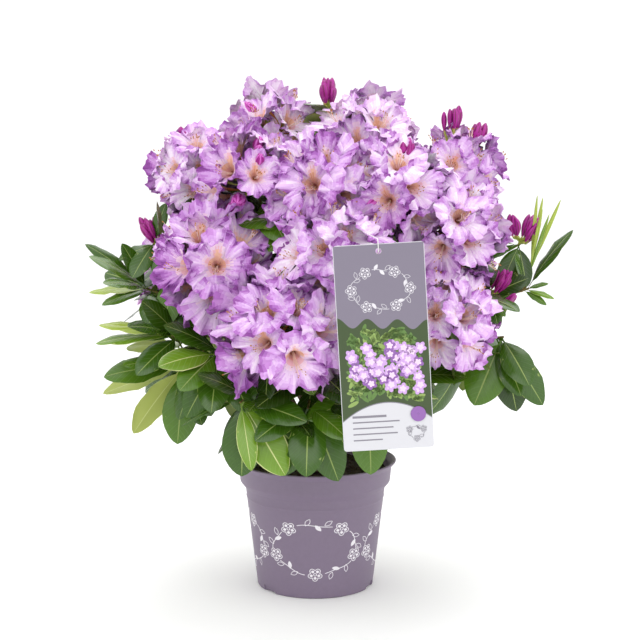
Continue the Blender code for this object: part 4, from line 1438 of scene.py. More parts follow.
    @staticmethod
    def tints(rng: Dice, depth: Array, s: Array, p: Array, ridge: Array) -> Array:
        """The finish of each petal face: pale in the middle of a lobe, violet at its edge, pink to
        terracotta down the tube, and on the upper lobe an apricot flare. Faces on its ridges are
        painted paler, as painted highlight, and faces in its folds deeper, as painted shade.

        Args:
            rng: random numbers.
            depth: how much deeper each flower is, in its own colour and as painted shade and light,
                shaped (flowers, 1, 1, 1).
            s: rows' places, -1 to 0 up the tube and 0 to 1 out along a lobe.
            p: columns' places across a lobe, -1 to 1.
            ridge: how far each point stands on a ridge, about -1 to 1, which sets the painted
                highlight and shade.

        Returns:
            Numbers of finishes, shaped (flowers * 5, rows - 1, columns).
        """
        ridge = (ridge[:, :, 1:, 1:] + ridge[:, :, :-1, :-1]) / 2
        s = ((s[1:] + s[:-1]) / 2)[:, None]
        p = (p[1:] + p[:-1]) / 2
        count = len(depth)
        one, many = (count, 1, 1, 1), (count, 5, 1, 1)
        depth = depth + rng.normal(0, 0.08, one) + rng.normal(0, 0.04, many)
        out = np.clip(s, 0, 1)
        # Deeper towards the edge and sides of a lobe; paler on ridges as painted highlight and
        # deeper in folds as painted shade.
        grade_and_shade = 0.10 + 0.30 * out**1.1 + 0.22 * out**3 + 0.14 * np.abs(p) ** 1.5 - 0.27 * ridge
        grade_and_shade = grade_and_shade + depth + rng.normal(0, 0.045, (count, 5, 1, len(p)))
        grade_and_shade = grade_and_shade + rng.normal(0, 0.03, ridge.shape)
        found = np.clip(grade_and_shade * len(PETALS), 0, len(PETALS) - 1).astype(int)
        warm = np.array([0.44, 0.16, 0.02, 0.02, 0.16]).reshape(1, 5, 1, 1)
        lean = np.array([0.0, -0.12, 0.0, 0.0, 0.12]).reshape(1, 5, 1, 1)
        reach = warm * rng.uniform(0.5, 1.2, one) * (1 - 0.8 * np.abs(p)) + lean * p
        # Ridges hold the throat's colours back a little: more painted highlight on them.
        place = s - reach - 0.08 * np.cos(2.2 * p) + 0.05 * ridge + rng.normal(0, 0.05, ridge.shape)
        upper = warm > 0.1
        found = np.where(place < 0.06, Throat.BLUSH, found)
        found = np.where(place < -0.12, Throat.DUSKY_PINK, found)
        found = np.where((place < -0.24) & upper, Throat.APRICOT, found)
        speck = rng.uniform(0, 1, (count, 5, 1, len(p))) < 0.45
        found = np.where((place < -0.36) & upper & speck, Throat.TAN, found)
        place = s + 0.10 * upper + rng.normal(0, 0.06, ridge.shape)
        found = np.where(place < -0.40, Throat.ROSE, found)
        found = np.where(place < -0.68, Throat.TERRACOTTA, found)
        return found.reshape(count * 5, len(s), len(p))

    def stamens(self, rng: Dice, count: int) -> tuple[Array, ...]:
        """Curved filaments along +Z that lean to the lower lobes and turn up at their tips.

        Args:
            rng: random numbers.
            count: how many flowers.

        Returns:
            Paths (flowers * stamens, 6, 3) and radii (flowers * stamens, 6).
        """
        each = self.stamen_count
        turn = rng.uniform(0, 2 * math.pi, (count, each))
        reach = rng.uniform(0.028, 0.042, (count, each))
        out = rng.uniform(0.003, 0.009, (count, each))
        start = xyz(0.001 * np.cos(turn), 0.001 * np.sin(turn), 0.004)
        control = xyz(0.2 * out * np.cos(turn), -0.008, 0.7 * reach)
        end = xyz(out * np.cos(turn), out * np.sin(turn) * 0.7 - 0.003, reach)
        paths = bend(start, control, end, 6).reshape(count * each, 6, 3)
        return paths, np.broadcast_to(np.linspace(0.0005, 0.0003, 6), paths.shape[:2])

    def bud(self, rng: Dice, count: int, ripe: float) -> tuple[Array, ...]:
        """Closed buds along +Z: the radius at v, 0 to 1, is (width / 2) sin(pi v^1.35)^0.62, a
        club with a blunt end, with five soft folds round it that twist a little.

        Args:
            rng: random numbers.
            count: how many buds.
            ripe: 0 for small tight buds, 1 for plump ones about to open.

        Returns:
            Grids (buds, rows, columns, 3), to be wrapped, and the finish of each face, with painted
            shade in the creases and painted highlight on the ridges.
        """
        v = np.linspace(0.02, 0.985, 12)[:, None]
        around = full_turn(15)[None, :]
        twist = rng.uniform(-1.6, 1.6, (count, 1, 1))
        slim = rng.uniform(0.8, 1.1, (count, 1, 1)) * (1 + 0.35 * ripe)
        fold = np.cos(5 * around + 5 * twist * v)
        radius = 0.5 * self.bud_width * slim * np.sin(math.pi * v**1.35) ** 0.62
        radius = radius * (1 + (0.10 + 0.10 * ripe * v) * fold)
        bow = rng.uniform(-0.003, 0.003, (count, 1, 1)) * np.sin(math.pi * v)
        grid = xyz(radius * np.cos(around) + bow, radius * np.sin(around), self.bud_length * v)
        # Faces in the creases take the deeper plum, as painted shade, and faces on the ridges the
        # paler orchid, as painted highlight.
        faces = (fold + np.roll(fold, -1, axis=2))[:, :-1] / 2
        tone_and_shade = 1 + (faces > -0.3 - 0.4 * ripe).astype(int) + (faces > 0.6 - 0.7 * ripe).astype(int)
        tone_and_shade = np.where((v[:-1] < 0.45) & (ripe > 0.5), 4, tone_and_shade)
        tone_and_shade = np.where(v[:-1] < 0.08, 0, tone_and_shade)
        return grid, tone_and_shade

    @staticmethod
    def facing(ways: Array, rng: Dice) -> Array:
        """Frames of flowers that look along their ways, the upper lobe up, with a little roll.

        Args:
            ways: unit vectors, shaped (flowers, 3).
            rng: random numbers.

        Returns:
            Matrices whose columns are a flower's own X, Y (up) and Z (out).
        """
        frames = frames_towards(ways, UP)
        side, up = frames[..., 1], frames[..., 2]
        roll = rng.normal(0, 0.3, (len(ways), 1))
        x = side * np.cos(roll) + up * np.sin(roll)
        return np.stack([x, np.cross(ways, x), ways], axis=-1)

    def build(self) -> None:
        """Builds each sector's petals, and all stamens, stalks and buds."""
        for sector, masses in SECTORS.items():
            petals = Skin(f"petals_{sector.value}", (*PETALS, *THROATS))
            for shoot in self.skeleton.shoots:
                if shoot.mass not in masses or shoot.habit is LEAFY:
                    continue
                rng = np.random.default_rng(SEED * 1000 + shoot.number)
                if shoot.habit is BLOOM:
                    self.open_truss(shoot, rng, petals)
                else:
                    ways = self.spread(shoot, self.buds, self.bud_cap, rng.uniform(0, 6))
                    self.close_truss(shoot, rng, ways, self.bud_neck, 0.0)
                for clock, lean, neck in BUNCHES.get((shoot.mass, shoot.place), ()):
                    way = clock_way(*np.radians([[clock], [lean]]))
                    ways = unit(way + rng.normal(0, 0.09, (self.bunch, 3)))
                    self.close_truss(shoot, rng, ways, neck * MM, 0.0)
            settle(petals, masses, crease=80.0)
        for skin in (self.threads, self.stalks, self.closed):
            settle(skin, list(MASSES), crease=70.0)

    def open_truss(self, shoot: Shoot, rng: Dice, petals: Skin) -> None:
        """Dresses one shoot with open flowers and, here and there, buds about to open.

        Args:
            shoot: the shoot.
            rng: random numbers.
            petals: takes the corollas.
        """
        growth = Growth.of(shoot)
        ways = self.spread(shoot, self.blooms, growth.cap, rng.uniform(0, 6))
        shut = rng.uniform(0, 1, len(ways)) < self.shut_share
        if shut.any():
            bunch = np.repeat(ways[shut], self.shut_bunch, axis=0)
            bunch = unit(bunch + rng.normal(0, 0.14, bunch.shape))
            self.close_truss(shoot, rng, bunch, self.neck_at, 1.0)
        ways = ways[~shut]
        count = len(ways)
        sizes = growth.size * rng.uniform(*self.sizes, count)
        cores = shoot.twig.feet(self.first_core, self.core_step, count)
        bases = cores + ways * (self.neck_at * sizes)[:, None] + growth.shift()
        looks = unit(ways + UP * 0.12 + rng.normal(0, 0.13, ways.shape))
        frames = self.facing(looks, rng)
        # Flowers that face up are painted paler and those that face down deeper: painted light and
        # shade, added to the truss's own.
        grid, tints = self.corolla(rng, growth.depth - 0.10 * looks[:, 2])
        placed = carried(grid, frames, bases, sizes)
        past = self.clearing.past(placed.reshape(count, -1, 3)) - self.clearing.past_box
        back = -ways * np.maximum(past, 0)[:, None]
        bases, placed = bases + back, placed + np.repeat(back, 5, 0)[:, None, None]
        clear = self.clearing.blocked(placed.reshape(count, -1, 3)) < self.most_blocked
        kept = np.repeat(clear, 5)
        rows, columns = placed.shape[1:3]
        across = self.shown_width * np.linspace(-0.5, 0.5, columns)
        flat = np.stack(np.meshgrid(across, np.linspace(0, self.shown_length, rows)), axis=-1)
        petals.add(placed[kept], tints[kept], flat)
        paths, radii = self.stamens(rng, count)
        paths = carried(paths[:, :, None], frames, bases, sizes)[:, :, 0]
        kept = np.repeat(clear, self.stamen_count)
        self.threads.add(sweep(paths[kept], radii[kept], 3), wrap=True)
        ends = paths[kept][:, -1]
        drift = unit(ends - paths[kept][:, -2])
        grains = np.stack([ends + drift * mark for mark in self.anther_marks], axis=1)
        girth = np.broadcast_to(self.anther_radii, grains.shape[:2])
        self.threads.tubes(grains, girth, 4, 1)
        self.add_stalks(cores[clear], ways[clear], bases[clear], looks[clear], 0)

    def close_truss(self, shoot: Shoot, rng: Dice, ways: Array, neck: float, ripe: float) -> None:
        """Adds buds that point along the ways, each on a short stalk.

        Args:
            shoot: the shoot.
            rng: random numbers.
            ways: unit vectors, shaped (buds, 3).
            neck: how far from the shoot the buds begin.
            ripe: 0 for small tight buds, 1 for plump ones about to open.
        """
        count = len(ways)
        cores = shoot.twig.feet(0.001, 0.0008, count)
        looks = unit(ways + (1 - ripe) * (shoot.axis * 0.3 + UP * 1.5))
        bases = cores + ways * neck + Growth.of(shoot).shift()
        grid, tone_and_shade = self.bud(rng, count, ripe)
        placed = carried(grid, self.facing(looks, rng), bases, rng.uniform(0.8, 1.08, count))
        clear = self.clearing.blocked(placed) < self.most_blocked
        self.closed.add(placed[clear], tone_and_shade[clear], wrap=True, capped=True)
        self.add_stalks(cores[clear], looks[clear], bases[clear], looks[clear], 1)

    def add_stalks(
        self, cores: Array, ways: Array, bases: Array, looks: Array, finish: int
    ) -> None:
        """Adds thin stalks that leave the shoot along the ways and swell under their flowers.

        Args:
            cores: where they start.
            ways: how they start.
            bases: where they end.
            looks: how they end.
            finish: number of their finish.
        """
        ends = bases + looks * 0.0015
        reach = np.linalg.norm(ends - cores, axis=1)[:, None]
        paths = bend(cores, cores + ways * reach * 0.55 - UP * reach * 0.06, ends, 7)
        self.stalks.tubes(paths, np.broadcast_to(self.stalk_radii, paths.shape[:2]), 6, finish)


# Pot, root ball, label and tie


@dataclass
class Pot:
    """A round nursery pot: rolled lip, collar, shoulder, tapered wall, notched foot, and a
    printed garland."""

    height: float = 0.181
    lip_radius: float = 0.1150
    lip_depth: float = 0.0030
    collar_radius: float = 0.1085
    collar_top: float = 0.1720
    collar_foot_radius: float = 0.1065
    collar_foot: float = 0.1510
    shoulder_radius: float = 0.0990
    shoulder_height: float = 0.1415
    foot_radius: float = 0.0824
    wall: float = 0.0018
    ring_height: float = 0.1290
    ring_relief: float = 0.0006
    notch_width: float = 0.022
    notch_height: float = 0.008
    notch_depth: float = 0.010
    notch_azimuths: tuple[float, ...] = (-51, 69, 189)
    repeats: int = 4
    ink_heights: tuple[float, float, float] = (0.00002, 0.00022, 0.00002)
    core: float = 0.004
    lip_round: float = 0.0008
    steps: int = 288

    def wall_at(self, heights: Array) -> Array:
        """The tapered wall's outer radius at each height under the shoulder."""
        share = heights / self.shoulder_height
        return self.foot_radius + share * (self.shoulder_radius - self.foot_radius)

    def profile(self) -> Array:
        """The closed outline, from the middle of the floor, out, up the outside and down inside.

        Returns:
            Points (radius, height), with round corners.
        """
        levels = self.ring_height + np.array([-2.0, -1.0, 0.0, 1.0, 2.0]) * 0.0011
        swell = np.array([0.0, 0.7, 1.0, 0.7, 0.0]) * self.ring_relief
        ring = np.stack([self.wall_at(levels) + swell, levels], axis=1)
        notch_top = np.array([0.25, 0.9, 1.0, 1.1, 2.0]) * self.notch_height
        low = np.stack([self.wall_at(notch_top), notch_top], axis=1)
        lip, wall, foot = self.lip_radius, self.wall, self.foot_radius
        outside = [
            (self.shoulder_radius, self.shoulder_height),
            (self.collar_foot_radius, self.collar_foot),
            (self.collar_radius, self.collar_top),
        ]
        rim = [
            (lip - self.lip_round, self.height - self.lip_depth),
            (lip, self.height - 0.5 * self.lip_depth),
            (lip - self.lip_round, self.height),
            (lip - 2 * wall, self.height),
        ]
        inside = [(radius - wall, height) for radius, height in outside[::-1]]
        inside += [(foot - wall, wall), (self.core, wall)]
        floor = [(self.core, 0.0), (foot - 0.002, 0.0), (foot, 0.0012)]
        body = rounded(np.vstack([ring[-1:], outside, rim, inside]), 0.0014)
        return np.vstack([floor, low, rounded(np.vstack([low[-1:], ring]), 0.0005)[1:], body[1:]])

    def shell(self) -> Array:
        """The pot as a grid: the profile carried round, and pushed in at the drain notches.

        Returns:
            A grid shaped (1, rows, columns, 3).
        """
        grid = turned(self.profile(), self.steps)
        angle = np.degrees(np.arctan2(grid[..., 0], -grid[..., 1]))
        radius = np.hypot(grid[..., 0], grid[..., 1])
        for azimuth in self.notch_azimuths:
            off = np.radians((angle - azimuth + 180) % 360 - 180) * self.foot_radius
            inside = ease(0.0008, -0.0008, np.abs(off) - self.notch_width / 2)
            inside = inside * ease(0.0006, -0.0006, grid[..., 2] - self.notch_height)
            inside = inside * (radius > self.foot_radius - self.notch_depth)
            push = 1 - inside * self.notch_depth / np.maximum(radius, self.foot_radius)
            outer = np.arange(grid.shape[1])[None, :, None] < 9
            grid[..., :2] *= np.where(outer, push, 1.0)[..., None]
        return grid

    def on_wall(self, around: Array, heights: Array, off: Array) -> Array:
        """Points of a drawing laid on the wall.

        Args:
            around: distance to the right of the front's middle, in metres.
            heights: heights on the wall.
            off: how far the points stand off it.

        Returns:
            Points shaped as the drawing's, with three coordinates.
        """
        angle = around / self.foot_radius
        radius = self.wall_at(heights) + off
        return xyz(radius * np.sin(angle), -radius * np.cos(angle), heights)

    def build(self) -> None:
        """Builds the pot and its print."""
        skin = Skin("pot_body", (POT_PLASTIC,))
        skin.add(self.shell(), wrap=True, capped=True)
        settle(skin, ["pot"], crease=35.0)
        ink = Skin("pot_print", (INK,))
        lines = Garland().lines()
        for turn in range(self.repeats):
            shift = turn * 2 * math.pi * self.foot_radius / self.repeats
            for line, width in lines:
                ink.add(self.ribbon(line + np.array([shift, 0.0]), width))
        settle(ink, ["pot"])

    def ribbon(self, line: Array, width: Array | float) -> Array:
        """A printed stroke: a flat band of that width along a line on the wall.

        Args:
            line: points (around, height), in metres.
            width: the stroke's width, or its width at each point.

        Returns:
            A grid shaped (1, points, 3, 3), raised a little in its middle.
        """
        edges = band(line, width, (-1, 0, 1))
        return self.on_wall(edges[..., 0], edges[..., 1], np.array(self.ink_heights))[None]


@dataclass(frozen=True)
class Garland:
    """A line drawing: an oval ring of sprigs and five-petalled blossoms."""

    middle: float = 0.072
    half_width: float = 0.056
    half_height: float = 0.036
    stroke: float = 0.0010
    blossoms: int = 5
    sprigs: int = 30
    leaf_length: float = 0.011
    blossom_radius: float = 0.0095

    def at(self, angle: Array, out: Array | float = 0.0) -> Array:
        """Points on the oval at these angles, moved outwards by a distance."""
        x = (self.half_width + out) * np.sin(angle)
        return np.stack([x, self.middle + (self.half_height + out) * np.cos(angle)], axis=-1)

    def lines(self) -> list[tuple[Array, Array | float]]:
        """The drawing's strokes.

        Returns:
            Each stroke's points (around, height) and its width, or its width at each point.
        """
        found = []
        apart = 2 * math.pi / self.blossoms
        gaps = (np.arange(self.blossoms) + 0.5) * 2 * math.pi / self.blossoms
        room = 0.9 * self.blossom_radius / self.half_height
        for start in gaps:
            angle = np.linspace(start + room, start + apart - room, 40)
            sway = 0.16 * self.leaf_length * np.sin(6 * (angle - start))
            found.append((self.at(angle, sway), self.stroke))
        for number, angle in enumerate(np.linspace(0, 2 * math.pi, self.sprigs, endpoint=False)):
            if np.abs((gaps - angle + math.pi) % (2 * math.pi) - math.pi).min() < 1.2 * room:
                continue
            side = 1 if number % 2 else -1
            found.append(self.leaf(angle, side, number % 3 == 0))
        for angle in gaps:
            found += self.blossom(self.at(np.array(angle)), self.blossom_radius, angle)
        return found

    def leaf(self, angle: float, side: int, filled: bool) -> tuple[Array, Array]:
        """A leaf that leaves the oval slantwise: a lens of two sine arcs, or a stroke as wide.

        Args:
            angle: where it leaves the oval.
            side: 1 outwards and -1 inwards.
            filled: whether it is one broad stroke instead of an outline.

        Returns:
            The stroke's points and its width at each.
        """
        foot = self.at(np.array(angle))
        out = unit(self.at(np.array(angle), 0.01) - foot)
        on = np.array([out[1], -out[0]])
        way = unit(out * side + on * 0.9)
        across = np.array([-way[1], way[0]])
        if filled:
            t = np.linspace(0, 1, 12)
            width = self.leaf_length * 0.46 * np.sin(math.pi * t) ** 0.8 + 0.3 * self.stroke
            return foot + self.leaf_length * t[:, None] * way, width
        t = np.concatenate([np.linspace(0, 1, 12), np.linspace(1, 0, 12)[1:]])
        half = np.sin(math.pi * t) * np.where(np.arange(23) < 12, 1, -1)
        line = foot + self.leaf_length * (t[:, None] * way + 0.24 * half[:, None] * across)
        return line, np.full(23, self.stroke * 0.8)

    def blossom(self, middle: Array, radius: float, turn: float) -> list:
        """A blossom of five round petals, a small ring, and a broad stroke in each petal.

        Args:
            middle: where it is.
            radius: R in its outline, r = R (0.62 + 0.38 |cos 2.5a|).
            turn: angle of its first petal.

        Returns:
            Its strokes, as lines gives them.
        """
        a = np.linspace(0, 2 * math.pi, 81)
        r = radius * (0.62 + 0.38 * np.abs(np.cos(2.5 * (a - turn))))
        petals = middle + np.stack([r * np.sin(a), r * np.cos(a)], axis=1)
        ring = middle + 0.2 * radius * np.stack([np.sin(a[::4]), np.cos(a[::4])], axis=1)
        found = [(petals, self.stroke), (ring, self.stroke)]
        t = np.linspace(0, 1, 8)
        for way in turn + full_turn(5):
            spine = (0.32 + 0.46 * t)[:, None] * np.array([math.sin(way), math.cos(way)])
            found.append((middle + radius * spine, 0.42 * radius * np.sin(math.pi * t) ** 0.6))
        return found


# The label's garlands, in its head and at its foot.
HEAD_GARLAND = Garland(-0.056, 0.036, 0.024, 0.0006, 6, 34, 0.0085, 0.0072)
FOOT_GARLAND = Garland(-0.236, 0.010, 0.008, 0.0005, 3, 12, 0.006, 0.0042)


@dataclass
class RootBall:
    """Peat that fills the pot: a low crumbled mound with chips of bark on it."""

    top: float = 0.166
    radius: float = 0.1052
    shoulder: tuple[tuple[float, float], ...] = ((0.1052, 0.151), (0.0969, 0.1415))
    foot_radius: float = 0.0813
    foot: float = 0.0083
    core: float = 0.002
    sunk: float = 0.0025
    steps: int = 180
    rings: int = 46
    chips: int = 420

    def on_mound(self, radius: Array, angle: Array) -> Array:
        """Points of the mound's surface: a few crossed waves of 12 to 60 mm.

        Args:
            radius: distances from the middle.
            angle: angles round it.

        Returns:
            Points of the shape that both are spread to.
        """
        x, y = radius * np.cos(angle), radius * np.sin(angle)
        rough = np.sin(105 * x + 3 * np.sin(90 * y)) + np.sin(140 * y + 2 * np.sin(120 * x + 1))
        fine = np.sin(420 * x + 260 * y) * np.sin(380 * y - 190 * x)
        return xyz(x, y, self.top - self.sunk + 0.0011 * rough + 0.0007 * fine)

    def build(self) -> None:
        """Builds the peat and its chips as one piece each."""
        radius = self.core + np.linspace(0, 1, self.rings)[:, None] * (self.radius - self.core)
        top = self.on_mound(radius, full_turn(self.steps)[None, :])[::-1]
        side = np.array([*self.shoulder, (self.foot_radius, self.foot), (self.core, self.foot)])
        grid = np.concatenate([turned(side, self.steps)[0, ::-1], top], axis=0)[None]
        skin = Skin("root_ball", (PEAT,))
        skin.add(grid, wrap=True, capped=True)
        settle(skin, ["soil"])
        rng = np.random.default_rng(SEED)
        reach = np.sqrt(rng.uniform(0.06, 0.9, self.chips)) * self.radius
        foot = self.on_mound(reach, rng.uniform(0, 2 * math.pi, self.chips))
        way = unit(rng.normal(0, 1, (self.chips, 3)) * np.array([1, 1, 0.3]))
        step = way * rng.uniform(0.002, 0.006, (self.chips, 1)) / 2
        paths = np.stack([foot - step, foot, foot + step], axis=1)
        girth = rng.uniform(0.0006, 0.0016, (self.chips, 1)) * np.array([0.5, 1.0, 0.4])
        chips = Skin("peat_chips", (CHIP,))
        chips.tubes(paths, girth, 5)
        settle(chips, ["soil"])


@dataclass
class Label:
    """A hanging picture label of thin card, its print, and the tie that it hangs by."""

    skeleton: Skeleton
    WIDTH = 0.112
    HEIGHT = 0.256
    THICKNESS = 0.0008
    TOP = np.array([0.0775, -0.268, 0.508])
    ROLL = 3.4
    hole_radius: float = 0.0035
    hole_drop: float = 0.009
    corner: float = 0.004
    bow: float = 0.0012
    bleed: float = 0.0008
    layer_step: float = 0.00008
    leaves: int = 260
    blossoms: int = 60
    rules: tuple[float, ...] = (0.42, 0.58, 0.50, 0.55, 0.36)
    tie_radius: float = 0.0006
    gap: float = 0.0003

    @classmethod
    def turn(cls) -> Array:
        """The card's frame: its own X runs across it, Y out of its back and Z up."""
        c, s = math.cos(math.radians(-cls.ROLL)), math.sin(math.radians(-cls.ROLL))
        return np.array([[c, 0, s], [0, 1, 0], [-s, 0, c]])

    @classmethod
    def to_card(cls, points: Array) -> Array:
        """World points in the card's own frame."""
        return (points - cls.TOP) @ cls.turn()

    def placed(self, points: Array) -> Array:
        """Points of the card's own frame, with its slight bow, in the world."""
        share = points[..., 2] / self.HEIGHT
        return self.TOP + (points + xyz(0, self.bow * share * (1 + share) * 4, 0)) @ self.turn().T

    def outline(self, steps: int) -> Array:
        """The card's edge with round corners, anticlockwise from the top left.

        Args:
            steps: even steps round it, to which the points of its corners are added.

        Returns:
            Points (x, z).
        """
        r, across, low = self.corner, self.WIDTH / 2 - self.corner, self.corner - self.HEIGHT
        quarter = np.linspace(0, math.pi / 2, 7)
        found = []
        for x, z, start in (
            (-across, -r, math.pi / 2), (-across, low, math.pi), (across, low, 1.5 * math.pi),
            (across, -r, 0.0),
        ):
            angle = start + quarter
            found.append(np.stack([x + r * np.cos(angle), z + r * np.sin(angle)], axis=1))
        closed = np.vstack([*found, found[0][:1]])
        marks = walked(closed)
        places = np.unique(np.concatenate([marks[:-1], np.linspace(0, marks[-1], steps)[:-1]]))
        return resampled(closed, places, marks)

    def card(self) -> Array:
        """The card as a ring: out from the punched hole over the front, back over the back.

        Returns:
            A grid shaped (1, rows, columns, 3) whose first row repeats as its last.
        """
        edge = self.outline(120)
        middle = np.array([0.0, -self.hole_drop])
        hole = middle + self.hole_radius * unit(edge - middle)
        shares = np.array([0.0, 0.12, 0.35, 0.7, 1.0])[:, None, None]
        face = hole + shares * (edge - hole)
        half = self.THICKNESS / 2
        front = xyz(face[..., 0], -half, face[..., 1])
        back = front * np.array([1, -1, 1])
        return np.concatenate([front, back[::-1], front[:1]], axis=0)[None]

    def sheet(self, x: Array, z: Array, layer: int) -> Array:
        """A grid of points that lie that many layers of ink above the card's front."""
        return self.placed(xyz(x, -self.THICKNESS / 2 - self.layer_step * layer, z))[None]

    def patch(self, skin: Skin, top: Array, foot: Array, x: Array, tint: Tint) -> None:
        """Adds a printed patch between two edges.

        Args:
            skin: takes the patch.
            top: heights of its upper edge over x.
            foot: heights of its lower edge.
            x: places across the card.
            tint: its ink.
        """
        z = foot + np.linspace(0, 1, 8)[:, None] * (top - foot)
        skin.add(self.sheet(x, z, 1), tint)

    def disc(self, skin: Skin, x: float, z: float, radii: Array, layer: int, tint: Tint) -> None:
        """Adds a printed disc whose edge may go in and out, as a blossom's outline does.

        Args:
            skin: takes the disc.
            x: its middle across the card.
            z: its middle's height.
            radii: its radius at even angles round it.
            layer: how many layers above the card it lies.
            tint: its ink.
        """
        radii = np.array([1.0, 0.5, 0.05])[:, None] * radii
        angle = full_turn(radii.shape[1])
        grid = self.sheet(x + radii * np.cos(angle), z + radii * np.sin(angle), layer)
        skin.add(grid, tint, wrap=True)

    def build(self) -> None:
        """Builds card, print and tie."""
        card = Skin("label_card", (CARD,))
        card.add(self.placed(self.card()), wrap=True)
        settle(card, ["label"], crease=30.0)
        self.build_print()
        self.build_tie()

    def build_print(self) -> None:
        """Builds the print: a mauve head with a waved edge and a white garland, a bed of blossoms
        and leaves, and a pale foot with an arched top, a dot, a sprig and plain rules."""
        skin = Skin("label_print", PRINTS)
        half = self.WIDTH / 2 - self.bleed
        hole_box = self.hole_drop - self.bleed
        corner = math.atan2(hole_box, half)
        corners = [corner, math.pi - corner, math.pi + corner, 2 * math.pi - corner]
        a = np.sort(np.concatenate([full_turn(64), corners]))
        box = np.minimum(half / np.abs(np.cos(a) + 1e-9), hole_box / np.abs(np.sin(a) + 1e-9))
        ring = self.hole_radius + 0.0002
        out = ring + np.array([1.0, 0.6, 0.3, 0.0])[:, None] * (box - ring)
        head = self.sheet(out * np.cos(a), out * np.sin(a) - self.hole_drop, 1)
        skin.add(head, Tint.MAUVE, wrap=True)
        x = np.linspace(-half, half, 80)
        edge = -0.098 - 0.006 * np.cos(3 * math.pi * x / half) - 0.07 * (x + 0.01)
        foot = -0.196 - 0.022 * (x / half) ** 2
        self.patch(skin, np.full_like(x, -self.hole_drop - hole_box), edge, x, Tint.MAUVE)
        self.patch(skin, edge, foot, x, Tint.GREEN)
        self.patch(skin, foot, foot - 0.0012, x, Tint.GREY)
        self.strew(skin, x, edge, foot)
        self.disc(skin, half - 0.017, -0.213, np.full(32, 0.0095), 14, Tint.PURPLE)
        for line, width in HEAD_GARLAND.lines():
            skin.add(self.stroke(line, width), Tint.WHITE)
        for line, width in FOOT_GARLAND.lines():
            skin.add(self.stroke(line + np.array([half - 0.020, 0.0]), width), Tint.GREY)
        for row, share in enumerate(self.rules):
            line = np.linspace(-half + 0.012, -half + 0.012 + share * 0.1, 6)
            z, weight = -0.212 - 0.0075 * row, 0.0016 if row else 0.0028
            self.patch(skin, np.full(6, z), np.full(6, z - weight), line, Tint.GREY)
        settle(skin, ["label"])

    def strew(self, skin: Skin, x: Array, edge: Array, foot: Array) -> None:
        """Strews the bed with lens-shaped leaves, and with five-lobed blossoms over them.

        Args:
            skin: takes them.
            x: places across the print.
            edge: heights of the bed's upper edge over x.
            foot: heights of its lower edge.
        """
        rng = np.random.default_rng(SEED + 5)
        around, half = full_turn(32), x[-1]
        for _ in range(self.leaves):
            place, share = int(rng.integers(10, 70)), rng.uniform(0.0, 1.0)
            z = edge[place] - 0.010 + share * (foot[place] + 0.020 - edge[place])
            a = around - rng.uniform(0, math.pi)
            lens = 0.0075 / np.sqrt(np.cos(a) ** 2 + 9 * np.sin(a) ** 2)
            tint = Tint(int(rng.integers(Tint.LEAF, Tint.LILAC)))
            self.disc(skin, x[place], z, lens, 2, tint)
        for number in range(self.blossoms):
            middle = rng.uniform(-half + 0.009, half - 0.009)
            z = -0.151 + rng.uniform(-0.038, 0.034) * (0.55 + 0.45 * (middle + half) / (2 * half))
            star = 0.0078 * (0.6 + 0.4 * np.abs(np.cos(2.5 * around + number)))
            layer = 3 + 2 * (number % 5)
            self.disc(skin, middle, z, star, layer, Tint.LILAC if number % 3 else Tint.PURPLE)
            self.disc(skin, middle, z, 0.55 * star, layer + 1, Tint.PINK)

    def stroke(self, line: Array, width: Array | float) -> Array:
        """A printed line of that width along points (x, z) of the card."""
        x, z = band(line, width, (-1, 1)).transpose(2, 0, 1)
        return self.sheet(x, z, 2)

    def build_tie(self) -> None:
        """Builds the tie: a loop round a twig of the front mass and through the card's hole."""
        shoot = next(s for s in self.skeleton.shoots if s.mass == "front_centre")
        held = shoot.twig.below(0.034)
        along = unit(shoot.twig.below(0.033) - held)
        frame = frames_towards(along, unit(held - self.TOP))
        ring = self.skeleton.twig_radius + self.tie_radius + self.gap
        angle = np.radians(np.linspace(-115, 115, 15))[:, None]
        wrap = held + ring * (np.cos(angle) * frame[:, 2] + np.sin(angle) * frame[:, 1])
        clear = self.THICKNESS / 2 + self.tie_radius + self.gap
        turn = np.linspace(0, math.pi, 9)[:, None]
        low = self.tie_radius + self.hole_drop
        dip = np.concatenate([0 * turn, clear * np.cos(turn), -low - 0.0006 * np.sin(turn)], axis=1)
        through = np.vstack([[0, clear, 0.006], dip, [0, -clear, 0.006]])
        through = self.TOP + through @ self.turn().T
        out = bend(wrap[-1], (wrap[-1] + through[0]) / 2 - UP * 0.006, through[0], 14)[1:-1]
        home = bend(through[-1], (through[-1] + wrap[0]) / 2 - UP * 0.003, wrap[0], 14)[1:-1]
        path = np.vstack([wrap, out, through, home])
        skin = Skin("label_tie_cord", (TIE_NYLON,))
        skin.tubes(path[None], np.full((1, len(path)), self.tie_radius), 8)
        settle(skin, ["label_tie"])


# Studio


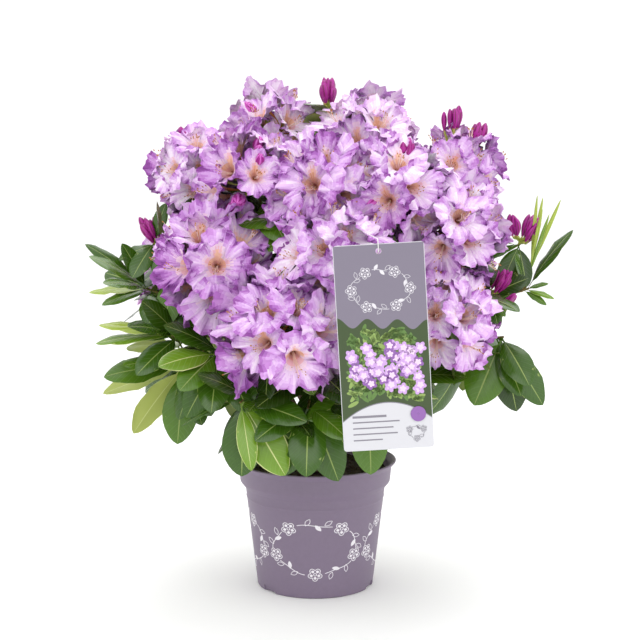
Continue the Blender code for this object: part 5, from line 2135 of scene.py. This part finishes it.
@dataclass
class Studio:
    """A wide pale floor, soft lights, and the camera."""

    eye: tuple[float, float, float] = (0.0068, -2.10, 0.655)
    tilt_down: float = 7.49
    lens_mm: float = 84.74
    sensor_mm: float = 36.0
    floor_radius: float = 40.0
    air: float = 1.12

    def build(self) -> None:
        """Builds floor, lights, surroundings and camera."""
        rings = np.array([(self.floor_radius, 0.0), (1.0, 0.0), (0.3, 0.0)])
        paper = Skin("studio_floor", (PAPER,))
        paper.add(turned(rings, 64), wrap=True)
        paper.add(turned(rings[-1:].repeat(2, 0) * [[1.0], [0.01]], 64), wrap=True)
        paper.build()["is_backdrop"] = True
        self.light("key_light", (-0.5, -1.9, 2.5), 2.4, 19.0)
        self.light("fill_light", (1.9, -1.5, 1.2), 2.0, 6.0)
        self.light("back_light", (0.2, 1.1, 2.8), 2.2, 28.0)
        world = bpy.data.worlds.new("studio_air")
        bpy.context.scene.world = world
        world.use_nodes = True
        air = world.node_tree.nodes["Background"].inputs
        air["Color"].default_value, air["Strength"].default_value = (1, 1, 1, 1), self.air
        bpy.context.scene.view_settings.view_transform = "Standard"
        data = bpy.data.cameras.new("camera")
        data.lens, data.sensor_width = self.lens_mm, self.sensor_mm
        camera = bpy.data.objects.new("camera", data)
        camera.location = self.eye
        camera.rotation_euler = (math.radians(90 - self.tilt_down), 0, 0)
        bpy.context.scene.collection.objects.link(camera)
        bpy.context.scene.camera = camera

    @staticmethod
    def light(name: str, place: tuple[float, float, float], side: float, watts: float) -> None:
        """Adds a square soft light that faces the crown.

        Args:
            name: its name.
            place: where it hangs.
            side: its side.
            watts: its power.
        """
        data = bpy.data.lights.new(name, "AREA")
        data.size, data.energy = side, watts
        lamp = bpy.data.objects.new(name, data)
        lamp.location = place
        way = unit(np.array([0.0, 0.0, 0.38]) - np.array(place))
        frame = frames_towards(-way, UP)
        matrix = np.stack([frame[:, 1], frame[:, 2], frame[:, 0]], axis=1)
        lamp.rotation_euler = Matrix(matrix.tolist()).to_euler()
        bpy.context.scene.collection.objects.link(lamp)


def main() -> None:
    """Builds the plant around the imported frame, piece by piece."""
    logging.basicConfig(level=logging.INFO, format="%(name)s: %(message)s")
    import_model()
    cad_box = [list(corner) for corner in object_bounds()]
    skeleton = Skeleton()
    extra = skeleton.side_shoots()
    clearing = Clearing(skeleton.trusses(), np.array(cad_box))
    Pot().build()
    RootBall().build()
    wood = Wood(skeleton)
    wood.build()
    wood.build_twigs(extra)
    Foliage(skeleton, clearing).build(extra)
    Trusses(skeleton, replace(clearing, past_box=0.003)).build()
    Label(skeleton).build()
    Studio().build()


if __name__ == "__main__":
    main()
